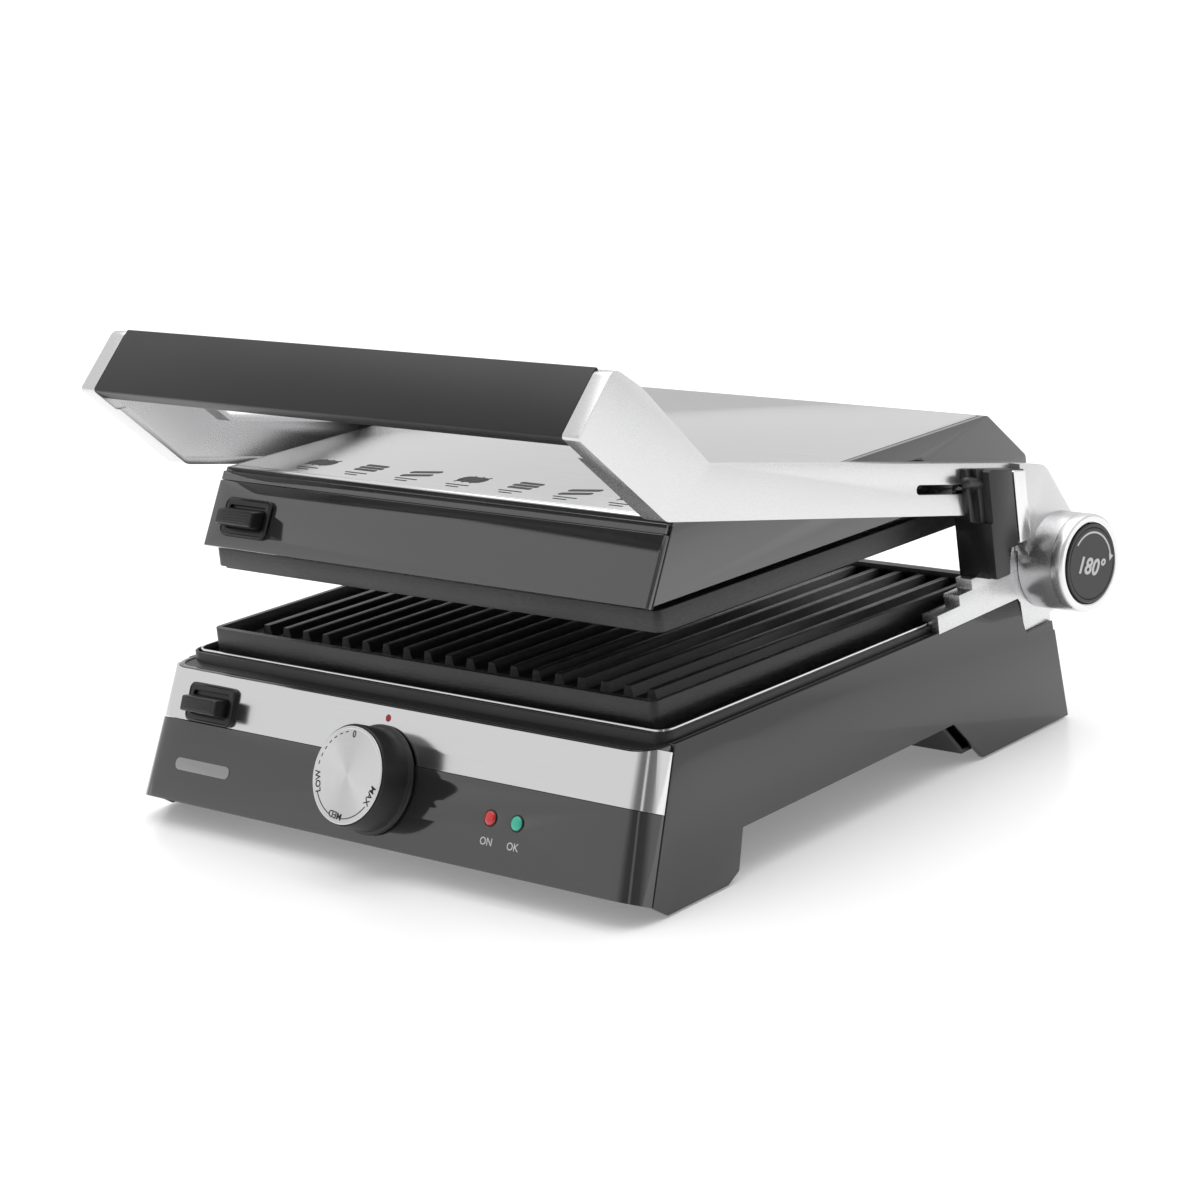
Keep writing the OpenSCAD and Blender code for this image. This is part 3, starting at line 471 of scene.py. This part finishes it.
def node_copy(node: str) -> bmesh.types.BMesh:
    """A merged copy of a CAD node with its flat faces whole again."""
    mesh = bmesh.new()
    mesh.from_mesh(frame["nodes"][node].data)
    bmesh.ops.remove_doubles(mesh, verts=mesh.verts, dist=NODE_MERGE_M)
    bmesh.ops.dissolve_limit(mesh, angle_limit=math.radians(FLAT_DEGREES), verts=mesh.verts,
                             edges=mesh.edges)
    bmesh.ops.recalc_face_normals(mesh, faces=mesh.faces)
    return mesh


def dress(piece: bpy.types.Object, body: str, slot: str, finish: Optional[Finish] = None,
          stands_for: Sequence[str] = ()) -> bpy.types.Object:
    """Give a piece its finish, its body and the CAD nodes that it stands for."""
    piece.data.materials.clear()
    piece.data.materials.append(material_of(finish or FINISHES[slot]))
    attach(piece, body)
    if stands_for:
        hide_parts(*stands_for)
    LOG.info("%s: %d faces on %s", piece.name, len(piece.data.polygons), body)
    return piece


def softened_node(node: str, radius_mm: float, finish: Optional[Finish] = None,
                  segments: int = 2) -> bpy.types.Object:
    """Replace a CAD node by the same shape with its edges rounded.

    Args:
        node: the CAD node.
        radius_mm: the edge radius.
        finish: a finish other than the node's own slot's.
        segments: facets across each rounded edge.

    Returns:
        The new piece.
    """
    mesh = node_copy(node)
    soften(mesh, radius_mm, segments)
    piece = put_in_scene(mesh, f"{node}_finished")
    return dress(piece, NODE_BODY[node], NODE_SLOT[node], finish, [node])


def lettering(words: str, height_mm: float, thick_mm: float = INK_MM, bold_mm: float = 0.0,
              slant: float = 0.0) -> bmesh.types.BMesh:
    """Generic dial lettering as a thin mesh, centred on the origin and facing +Z."""
    curve = bpy.data.curves.new("letters", "FONT")
    curve.body = words
    curve.size = height_mm * MM * EM_PER_CAPITAL
    curve.align_x = "CENTER"
    curve.align_y = "CENTER"
    curve.extrude = thick_mm * MM / 2
    curve.offset = bold_mm * MM
    curve.shear = slant
    curve.resolution_u = 3
    holder = bpy.data.objects.new("letters", curve)
    bpy.context.scene.collection.objects.link(holder)
    bpy.context.view_layer.update()
    data = bpy.data.meshes.new_from_object(holder)
    mesh = bmesh.new()
    mesh.from_mesh(data)
    bpy.data.objects.remove(holder)
    bpy.data.meshes.remove(data)
    bpy.data.curves.remove(curve)
    return mesh


# ---- sub-assemblies -------------------------------------------------------
@dataclass
class DialMarks:
    """Printed marks on a round dial: short words round its rim and arcs between them."""
    words: dict[str, float] = field(default_factory=lambda: {"0": 90.0, "LOW": 196.0,
                                                             "MED": 262.0, "MAX": 338.0})
    word_radius: float = 18.7
    word_height: float = 3.2
    word_bold: float = 0.08
    dash: tuple[int, int, int, int] = (102, 5, 11, 7)
    long_arcs: tuple[tuple[int, int], ...] = ((210, 250), (274, 322))
    arc_radius: float = 19.9
    line: float = 0.42

    def arc(self, start: float, end: float) -> bmesh.types.BMesh:
        """One thin arc from a start angle to an end angle, in degrees."""
        mesh = bmesh.new()
        half = self.line / 2
        inner = mesh.verts.new(((self.arc_radius - half) * MM, 0, 0))
        outer = mesh.verts.new(((self.arc_radius + half) * MM, 0, 0))
        edge = mesh.edges.new((inner, outer))
        bmesh.ops.rotate(mesh, verts=mesh.verts, cent=(0, 0, 0),
                         matrix=Matrix.Rotation(math.radians(start), 3, "Z"))
        bmesh.ops.spin(mesh, geom=[inner, outer, edge], cent=(0, 0, 0), axis=(0, 0, 1),
                       angle=math.radians(end - start), steps=max(2, int(abs(end - start) / 5)))
        flat = list(mesh.faces)
        bmesh.ops.recalc_face_normals(mesh, faces=flat)
        grown = bmesh.ops.extrude_face_region(mesh, geom=flat)["geom"]
        raised = [g for g in grown if isinstance(g, bmesh.types.BMVert)]
        bmesh.ops.translate(mesh, vec=(0, 0, INK_MM * MM), verts=raised)
        bmesh.ops.recalc_face_normals(mesh, faces=mesh.faces)
        return mesh

    def build(self) -> bmesh.types.BMesh:
        """All marks, facing +Z with their back on Z = 0."""
        marks = []
        for word, angle in self.words.items():
            turn = turned(angle - 90, "Z")
            letters = lettering(word, self.word_height, bold_mm=self.word_bold)
            marks.append(shifted(letters, turn @ moved(0, self.word_radius, 0.05)))
        first, long, step, count = self.dash
        dashes = [(first + step * i, first + long + step * i) for i in range(count)]
        for start, end in dashes + list(self.long_arcs):
            marks.append(self.arc(start, end))
        return merged(marks)


@dataclass
class Knob:
    """The thermostat knob: a black turned body with a bright turned cap and a printed scale."""
    up_the_slope: float = 44.4
    radius: float = 23.8
    skirt: float = 25.4
    height: float = 18.0
    cap: float = 22.6

    def place(self) -> Matrix:
        """From the knob's own axis (+Z outward) to the model."""
        return FASCIA @ moved(0, 0, self.up_the_slope) @ FACE_OUT

    def build(self) -> None:
        """Build the body, the cap and its printed scale."""
        body = turned_ring([(8, 1.6), (self.skirt, 0.8), (self.skirt + 0.2, 1.6), (self.skirt - 0.3, 2.6),
                            (self.radius + 0.4, 3.0), (self.radius, 3.8),
                            (self.radius - 0.1, self.height - 0.9),
                            (self.radius - 0.5, self.height - 0.2), (self.radius - 0.9, self.height),
                            (self.cap + 0.15, self.height - 0.2), (self.cap + 0.1, self.height - 1.2),
                            (8, self.height - 1.2)], 128)
        dress(put_in_scene(body, "knob_turned_body", self.place()), "knob", "black_plastic",
              stands_for=["knob_body"])
        top = self.height + 0.9
        cap = turned_piece([(0, self.height - 1.1), (self.cap, self.height - 1.1), (self.cap, top - 0.5),
                            (self.cap - 0.15, top - 0.15), (self.cap - 0.5, top), (self.cap - 1.2, top),
                            (self.cap - 1.5, top - 0.12), (0, top - 0.12)], 128)
        piece = put_in_scene(cap, "knob_bright_cap", self.place(), 20)
        polar_uv(piece, self.place().translation, self.place().to_3x3() @ Vector((0, 0, 1)))
        dress(piece, "knob", "cap_metal", stands_for=["knob_cap"])
        marks = put_in_scene(DialMarks().build(), "knob_scale", self.place() @ moved(0, 0, top - 0.14))
        dress(marks, "knob", "black_plastic", INK_DARK)


@dataclass
class PushKey:
    """A release key in its frame: a block with a sloped thumb face and a row of fine grip lines."""
    name: str
    body: str
    frame_body: str
    place: Matrix
    deep: float
    width: float = 26.0
    height: float = 11.0
    proud: float = 9.0
    frame_size: tuple[float, float] = (34.0, 19.0)
    frame_corner: float = 3.6
    frame_inset: float = 2.6
    frame_sink: float = 1.9
    thumb_slope: float = 3.4
    grip_lines: int = 5
    grip_pitch: float = 1.35

    def build(self) -> None:
        """Build the frame's lip and the key."""
        out = self.place @ FACE_OUT
        lip = tablet(*self.frame_size, self.frame_corner, 2.2, 0.8)
        hollow = [f for f in lip.faces if f.normal.z > 0.9 and f.calc_area() > 2e-4]
        bmesh.ops.inset_region(lip, faces=hollow, thickness=self.frame_inset * MM, use_even_offset=True)
        middle = [f for f in lip.faces if f.normal.z > 0.9 and f.calc_area() > 1.2e-4]
        bmesh.ops.translate(lip, vec=(0, 0, -self.frame_sink * MM),
                            verts=list({v for f in middle for v in f.verts}))
        piece = put_in_scene(lip, f"{self.name}_frame_lip", out @ moved(0, 0, -0.3))
        dress(piece, self.frame_body, "black_plastic")
        key = bmesh.new()
        bmesh.ops.create_cube(key, size=1.0)
        long = self.proud + self.deep
        bmesh.ops.scale(key, vec=Vector((self.width, self.height, long)) * MM, verts=key.verts)
        bmesh.ops.translate(key, vec=(0, 0, (self.proud - long / 2) * MM), verts=key.verts)
        top_front = [v for v in key.verts if v.co.z > 0 and v.co.y > 0]
        bmesh.ops.translate(key, vec=(0, -self.thumb_slope * MM, 0), verts=top_front)
        low_front = [v for v in key.verts if v.co.z > 0 and v.co.y < 0]
        bmesh.ops.translate(key, vec=(0, 0.3 * MM, 0), verts=low_front)
        soften(key, 0.9, 3)
        ribs = [key]
        for i in range(self.grip_lines):
            rib = block((self.width - 6, 0.5, 0.5), 0.15, 1)
            ribs.append(shifted(rib, moved(0, -3.6 + i * self.grip_pitch, self.proud)))
        piece = put_in_scene(merged(ribs), f"{self.name}_key", out)
        dress(piece, self.body, "black_plastic", stands_for=[self.name])


@dataclass
class Base:
    """The base: drafted housing, wrapped steel strip and panel, deck, tray rim, lamps and feet."""
    lamp_up: float = 38.3
    lamps: tuple[tuple[str, float, str, str], ...] = (("power_lamp", 76.6, "lamp_red", "ON"),
                                                      ("ready_lamp", 93.3, "lamp_green", "OK"))
    caption_drop: float = 10.6
    caption_height: float = 3.6
    badge: tuple[float, float, float, float] = (-121.5, 33.0, 40.0, 6.0)
    index_up: float = 73.2

    def build(self) -> None:
        """Build and dress every piece of the base."""
        # The housing takes the darker copy of the lacquer: painted shade.
        softened_node("base_housing", 0.9, BASE_PAINT_SHADED, segments=3)
        softened_node("fascia_panel", 0.35)
        softened_node("fascia_strip", 0.3)
        softened_node("rear_step", 0.4)
        softened_node("deck_lip", 0.4)
        softened_node("deck_bezel", 0.6)
        softened_node("lower_reflector", 0.3, RAIL_STEEL)
        softened_node("lower_button_frame", 0.5)
        for node, radius in (("bottom_cover", 0.4), ("rubber_feet", 0.6), ("cable_inlet", 0.5),
                             ("drip_tray", 0.7)):
            softened_node(node, radius)
        self.lamp_lenses()
        self.printed_marks()
        self.badge_plate()

    def lamp_lenses(self) -> None:
        """Domed lenses in dark rings."""
        for node, x, slot, _ in self.lamps:
            out = FASCIA @ moved(x, 0, self.lamp_up) @ FACE_OUT
            dome = turned_piece([(0, -2.2), (3.25, -2.2), (3.25, 0.35), (3.0, 0.75), (2.3, 1.1),
                                 (1.2, 1.3), (0, 1.35)], 40)
            dress(put_in_scene(dome, f"{node}_lens", out), "base", slot, stands_for=[node])
            collar = ring(3.9, 3.22, -0.6, 0.35, 0.15, 40)
            dress(put_in_scene(collar, f"{node}_collar", out), "base", "black_plastic")

    def printed_marks(self) -> None:
        """The index dot over the knob and a short caption under each lamp."""
        dot = turned_piece([(0, 0), (1.7, 0), (1.7, 0.1), (0, 0.14)], 32)
        spot = FASCIA @ moved(0, 0, self.index_up) @ FACE_OUT
        dress(put_in_scene(dot, "index_dot", spot @ moved(0, 0, -0.02)), "base", "lamp_red", INK_RED)
        captions = []
        for _, x, _, caption in self.lamps:
            letters = lettering(caption, self.caption_height, bold_mm=0.05)
            captions.append(shifted(letters, moved(x, self.lamp_up - self.caption_drop, 0.04)))
        place = FASCIA @ FACE_OUT
        dress(put_in_scene(merged(captions), "lamp_captions", place), "base", "lamp_green", INK_PALE)

    def badge_plate(self) -> None:
        """A slim blank plate with round ends."""
        x, up, width, height = self.badge
        out = FASCIA @ moved(x, 0, up) @ FACE_OUT
        plate = tablet(width, height, height / 2 - 0.01, 0.5, 0.15)
        piece = put_in_scene(plate, "blank_badge", out @ moved(0, 0, -0.1))
        dress(piece, "base", "cap_metal", BADGE_GREY)


@dataclass
class Plates:
    """The two ribbed cast plates."""
    edge: float = 0.7

    def build(self) -> None:
        """Soften both castings' edges."""
        softened_node("lower_plate", self.edge)
        softened_node("upper_plate", self.edge)


@dataclass
class Hinge:
    """Brackets with their steps, hub rings, the release disc and the plain cap."""
    face: float = 191.0
    ring_outer: float = 23.5
    ring_inner: float = 19.2
    disc: float = 18.9
    mark_turn: float = 84.0
    mark_radius: float = 14.8
    mark_arc: tuple[float, float] = (22, 150)

    def place(self, side: int) -> Matrix:
        """From a hub's axis (+Z outward) to the model."""
        return ARM @ (turned(90, "Y") if side > 0 else turned(-90, "Y"))

    def build(self) -> None:
        """Build both hubs and the brackets."""
        for side, label in ((1, "right"), (-1, "left")):
            softened_node(f"hinge_bracket_{label}", 0.5)
            rim = turned_ring([(self.ring_inner, self.face - 5.8), (self.ring_outer, self.face - 5.8),
                               (self.ring_outer, self.face - 1.4), (self.ring_outer - 0.4, self.face - 0.5),
                               (self.ring_outer - 1.3, self.face), (self.ring_inner + 0.9, self.face),
                               (self.ring_inner + 0.3, self.face - 0.3),
                               (self.ring_inner, self.face - 1.0)], 128)
            piece = put_in_scene(rim, f"hub_rim_{label}", self.place(side), 25)
            polar_uv(piece, ARM.translation, Vector((1, 0, 0)))
            dress(piece, "arms", "cap_metal", HUB_SILVER, [f"hub_ring_{label}"])
        self.release_disc()
        self.plain_cap()

    def disc_shape(self, low: float, high: float) -> bmesh.types.BMesh:
        """A disc with a shallow groove near its rim."""
        return turned_piece([(0, low), (self.disc, low), (self.disc, high - 0.5), (self.disc - 0.5, high),
                             (self.disc - 1.6, high), (self.disc - 1.9, high - 0.35), (self.disc - 2.2, high),
                             (0, high)], 128)

    def release_disc(self) -> None:
        """The pressed disc on the right hub, with its turning mark."""
        out = self.place(1)
        whole = merged([self.disc_shape(self.face - 4.5, self.face + 0.6),
                        turned_piece([(0, self.face - 9.4), (12, self.face - 9.4), (12, self.face - 4.4),
                                      (0, self.face - 4.4)], 64)])
        dress(put_in_scene(whole, "hinge_release_disc", out), "hinge_release", "grip_plastic",
              stands_for=["hinge_button"])
        upright = out @ turned(self.mark_turn, "Z")
        marks = [shifted(lettering("180°", 8.0, 0.16, 0.28, 0.2), moved(-0.6, -1.8, 0))]
        marks.append(DialMarks(arc_radius=self.mark_radius, line=0.9).arc(*self.mark_arc))
        tip = bmesh.new()
        bmesh.ops.create_cone(tip, cap_ends=True, cap_tris=True, segments=3, radius1=2.1 * MM,
                              radius2=2.1 * MM, depth=0.14 * MM)
        marks.append(shifted(tip, turned(18, "Z") @ moved(self.mark_radius, 0, 0.07) @ turned(-90, "Z")))
        piece = put_in_scene(merged(marks), "hinge_release_mark", upright @ moved(0, 0, self.face + 0.62))
        dress(piece, "hinge_release", "grip_plastic", INK_PALE)

    def plain_cap(self) -> None:
        """The fixed cap on the left hub."""
        whole = merged([self.disc_shape(self.face - 4.5, self.face - 0.4),
                        turned_piece([(0, self.face - 12.8), (15, self.face - 12.8), (15, self.face - 4.4),
                                      (0, self.face - 4.4)], 64)])
        dress(put_in_scene(whole, "hub_plain_cap", self.place(-1)), "arms", "grip_plastic",
              stands_for=["hub_cap_left"])


@dataclass
class Arms:
    """The swing arms with their bar handle and the height lever on the right arm."""

    def build(self) -> None:
        """Soften the castings and the bar, then build the lever."""
        softened_node("arm_left", 1.1, segments=3)
        softened_node("arm_right", 1.1, segments=3)
        softened_node("handle_cover", 0.6, segments=3)
        softened_node("handle_grip", 1.0, segments=3)
        softened_node("height_lever", 0.6)
        softened_node("lever_insert", 0.4, HUB_PLAIN)


@dataclass
class Head:
    """The floating head: housing, front fascia, steel cover with printed cooking marks, rail."""
    cover_top: float = 20.6
    cover_front: float = -123.6
    marks_x: tuple[float, ...] = (-104.0, -69.0, -34.0, 1.0, 36.0, 71.0, 106.0)
    marks_y: float = -104.0
    rail_radius: float = 2.0
    rail_length: float = 288.0
    duct: tuple[float, float, float] = (0, 100, 2)
    duct_lean: float = 60.0

    def build(self) -> None:
        """Build and dress every piece of the head."""
        # Housing and fascia take the paler copy of the lacquer: painted light.
        softened_node("head_housing", 1.2, HEAD_PAINT_LIT, segments=3)
        softened_node("head_fascia", 0.5, HEAD_PAINT_LIT)
        softened_node("head_top_plate", 0.5, TOP_STEEL)
        softened_node("upper_button_frame", 0.5)
        self.front_rail()
        self.cooking_marks()
        self.side_grooves()
        self.duct_plug()

    def duct_plug(self) -> None:
        """A rubber plug, flush in the rear duct the wires leave by."""
        plug = turned_piece([(0, 2.9), (4.95, 2.9), (4.95, 5.2), (4.6, 5.6), (3.0, 5.6), (2.6, 5.0),
                             (0, 5.0)], 40)
        place = HEAD @ moved(*self.duct) @ turned(-self.duct_lean, "X")
        dress(put_in_scene(plug, "duct_plug", place), "head", "foot_rubber")

    def front_rail(self) -> None:
        """The polished roll along the cover's front edge."""
        rail = bmesh.new()
        bmesh.ops.create_cone(rail, cap_ends=True, segments=24, radius1=self.rail_radius * MM,
                              radius2=self.rail_radius * MM, depth=self.rail_length * MM)
        bmesh.ops.rotate(rail, verts=rail.verts, cent=(0, 0, 0),
                         matrix=Matrix.Rotation(math.pi / 2, 3, "Y"))
        soften(rail, 0.5, 2, 60)
        place = HEAD @ moved(0, self.cover_front - 1.2, self.cover_top - 1.9)
        dress(put_in_scene(rail, "cover_front_rail", place), "head", "steel_trim", RAIL_STEEL)

    def cooking_marks(self) -> None:
        """A row of plain printed food shapes with a time bar under each."""
        shapes = []
        for count, x in enumerate(self.marks_x):
            here = moved(x, self.marks_y, self.cover_top + 0.01)
            shapes.append(shifted(self.food(count), here @ Matrix.Diagonal((1.3, 1.7, 1.0, 1.0))))
            for row, width in ((-10.2, 15.0), (-13.6, 8.5)):
                shapes.append(shifted(tablet(width, 1.1, 0.5, 0.1, 0), here @ moved(0, row, 0)))
        piece = put_in_scene(merged(shapes), "cooking_marks", HEAD)
        dress(piece, "head", "steel_trim", INK_DARK)

    def food(self, kind: int) -> bmesh.types.BMesh:
        """One plain food shape, by its place in the row."""
        if kind % 3 == 0:
            loaf = tablet(13, 5.4, 2.6, 0.1, 0)
            slices = [shifted(tablet(0.8, 7.4, 0.3, 0.1, 0), moved(-4 + 4 * i, 0, 0) @ turned(-25, "Z"))
                      for i in range(3)]
            return merged([loaf] + slices)
        if kind % 3 == 1:
            layers = [shifted(tablet(12.5 - abs(i - 1), 1.7, 0.8, 0.1, 0), moved(0, -2.4 + 2.4 * i, 0))
                      for i in range(3)]
            return merged(layers)
        links = [shifted(tablet(13, 2.2, 1.1, 0.1, 0), moved(0, -1.9 + 3.8 * i, 0) @ turned(14, "Z"))
                 for i in range(2)]
        return merged(links)

    def side_grooves(self) -> None:
        """Dark joint lines between the fascia and the housing's sides."""
        for side in (-1, 1):
            seam = block((0.5, 0.7, 37.0), 0.1, 1)
            place = HEAD_FASCIA @ moved(side * 149.45, 3.1, 19.0)
            dress(put_in_scene(seam, f"fascia_joint_{'left' if side < 0 else 'right'}", place), "head",
                  "black_plastic")


@dataclass
class Insides:
    """Pieces mostly hidden inside, which keep their CAD shape and get their real finish."""
    nodes: tuple[str, ...] = ("lower_element", "thermostat", "terminal_block", "hinge_pins", "base_screws",
                              "knob_shaft", "lower_latch", "lever_stud", "upper_reflector", "upper_element",
                              "head_pivots", "head_screws", "thermal_fuse", "upper_latch")

    def build(self) -> None:
        """Assign each node's own finish to its slots."""
        for node in self.nodes:
            data = frame["nodes"][node].data
            data.materials.clear()
            data.materials.append(material_of(FINISHES[NODE_SLOT[node]]))
            LOG.info("%s keeps its shape", node)


# ---- studio ---------------------------------------------------------------
@dataclass
class Studio:
    """A pale floor, one soft light, a surround and the camera."""
    camera_mm: tuple[float, float, float] = (1159.4, -1111.8, 533.7)
    azimuth: float = 45.864
    elevation: float = 15.657
    roll: float = -7.328
    lens_mm: float = 104.154
    shift: tuple[float, float] = (-0.00308, -0.00133)
    sky: float = 0.85
    surround: tuple[tuple[float, float], ...] = ((0.22, 0.85), (0.3, 0.22), (0.36, 0.16), (0.37, 0.85),
                                                 (0.384, 0.85), (0.395, 0.16), (0.47, 0.22), (0.54, 0.9),
                                                 (0.8, 0.9), (0.87, 0.78), (0.94, 0.88))
    floor_half: float = 6.0
    light_place: tuple[float, float, float] = (-0.2, 0.3, 2.2)
    light_size: tuple[float, float] = (3.0, 3.0)
    light_power: float = 36
    aim: tuple[float, float, float] = (0, 0, 0.08)

    def build(self) -> None:
        """Make the stage, the surround, the light and the camera."""
        self.floor()
        self.lights()
        self.camera()
        bpy.context.scene.view_settings.view_transform = "Standard"

    def floor(self) -> None:
        """A wide white floor with a soft gloss."""
        mesh = bmesh.new()
        bmesh.ops.create_grid(mesh, x_segments=1, y_segments=1, size=self.floor_half)
        floor = put_in_scene(mesh, "studio_floor")
        floor.data.materials.append(material_of(FLOOR_BOARD))

    def lamp(self, name: str, place: Sequence[float], size: Sequence[float], power: float) -> None:
        """One rectangular soft light aimed at the object."""
        data = bpy.data.lights.new(name, "AREA")
        data.shape = "RECTANGLE"
        data.size, data.size_y = size
        data.energy = power
        light = bpy.data.objects.new(name, data)
        bpy.context.scene.collection.objects.link(light)
        light.location = place
        light.rotation_euler = (Vector(self.aim) - Vector(place)).to_track_quat("-Z", "Y").to_euler()

    def lights(self) -> None:
        """A broad soft light overhead inside a surround that is dark on one side."""
        world = bpy.data.worlds.new("studio_surround")
        world.use_nodes = True
        tree = world.node_tree
        place = add_node(tree, "ShaderNodeTexCoord")
        parts = add_node(tree, "ShaderNodeSeparateXYZ", {}, {"Vector": place.outputs["Generated"]})
        bearing = add_node(tree, "ShaderNodeMath", {"operation": "ARCTAN2"},
                           {0: parts.outputs["Y"], 1: parts.outputs["X"]})
        turn = add_node(tree, "ShaderNodeMapRange", {"From Min": -math.pi, "From Max": math.pi},
                        {"Value": bearing.outputs["Value"]})
        ramp = add_node(tree, "ShaderNodeValToRGB", {}, {"Fac": turn.outputs["Result"]})
        stops = ramp.color_ramp.elements
        stops[0].position, stops[0].color = 0.0, (self.sky,) * 3 + (1,)
        stops[1].position, stops[1].color = 1.0, (self.sky,) * 3 + (1,)
        for at, level in self.surround:
            stops.new(at).color = (level,) * 3 + (1,)
        tree.links.new(ramp.outputs["Color"], tree.nodes["Background"].inputs["Color"])
        bpy.context.scene.world = world
        self.lamp("top_light", self.light_place, self.light_size, self.light_power)

    def camera(self) -> None:
        """The camera, from its solved place, direction and roll."""
        az, el, roll = (math.radians(v) for v in (self.azimuth, self.elevation, self.roll))
        back = Vector((math.sin(az) * math.cos(el), -math.cos(az) * math.cos(el), math.sin(el)))
        right = Vector((math.cos(az), math.sin(az), 0))
        up = back.cross(right)
        side = right * math.cos(roll) + up * math.sin(roll)
        rise = up * math.cos(roll) - right * math.sin(roll)
        data = bpy.data.cameras.new("product_camera")
        data.sensor_width = 36
        data.lens = self.lens_mm
        data.shift_x, data.shift_y = self.shift
        data.clip_start = 0.05
        camera = bpy.data.objects.new("product_camera", data)
        bpy.context.scene.collection.objects.link(camera)
        turn = Matrix((side, rise, back)).transposed().to_4x4()
        camera.matrix_world = Matrix.Translation(Vector(self.camera_mm) * MM) @ turn
        bpy.context.scene.camera = camera


def main() -> None:
    """Build the whole object in order."""
    logging.basicConfig(level=logging.INFO, format="%(message)s")
    Base().build()
    Plates().build()
    Hinge().build()
    Arms().build()
    Head().build()
    Knob().build()
    PushKey("lower_release_button", "lower_button", "base", LOWER_KEY, deep=9.0).build()
    PushKey("upper_release_button", "upper_button", "head", UPPER_KEY, deep=3.0).build()
    Insides().build()
    Studio().build()


if __name__ == "__main__":
    main()
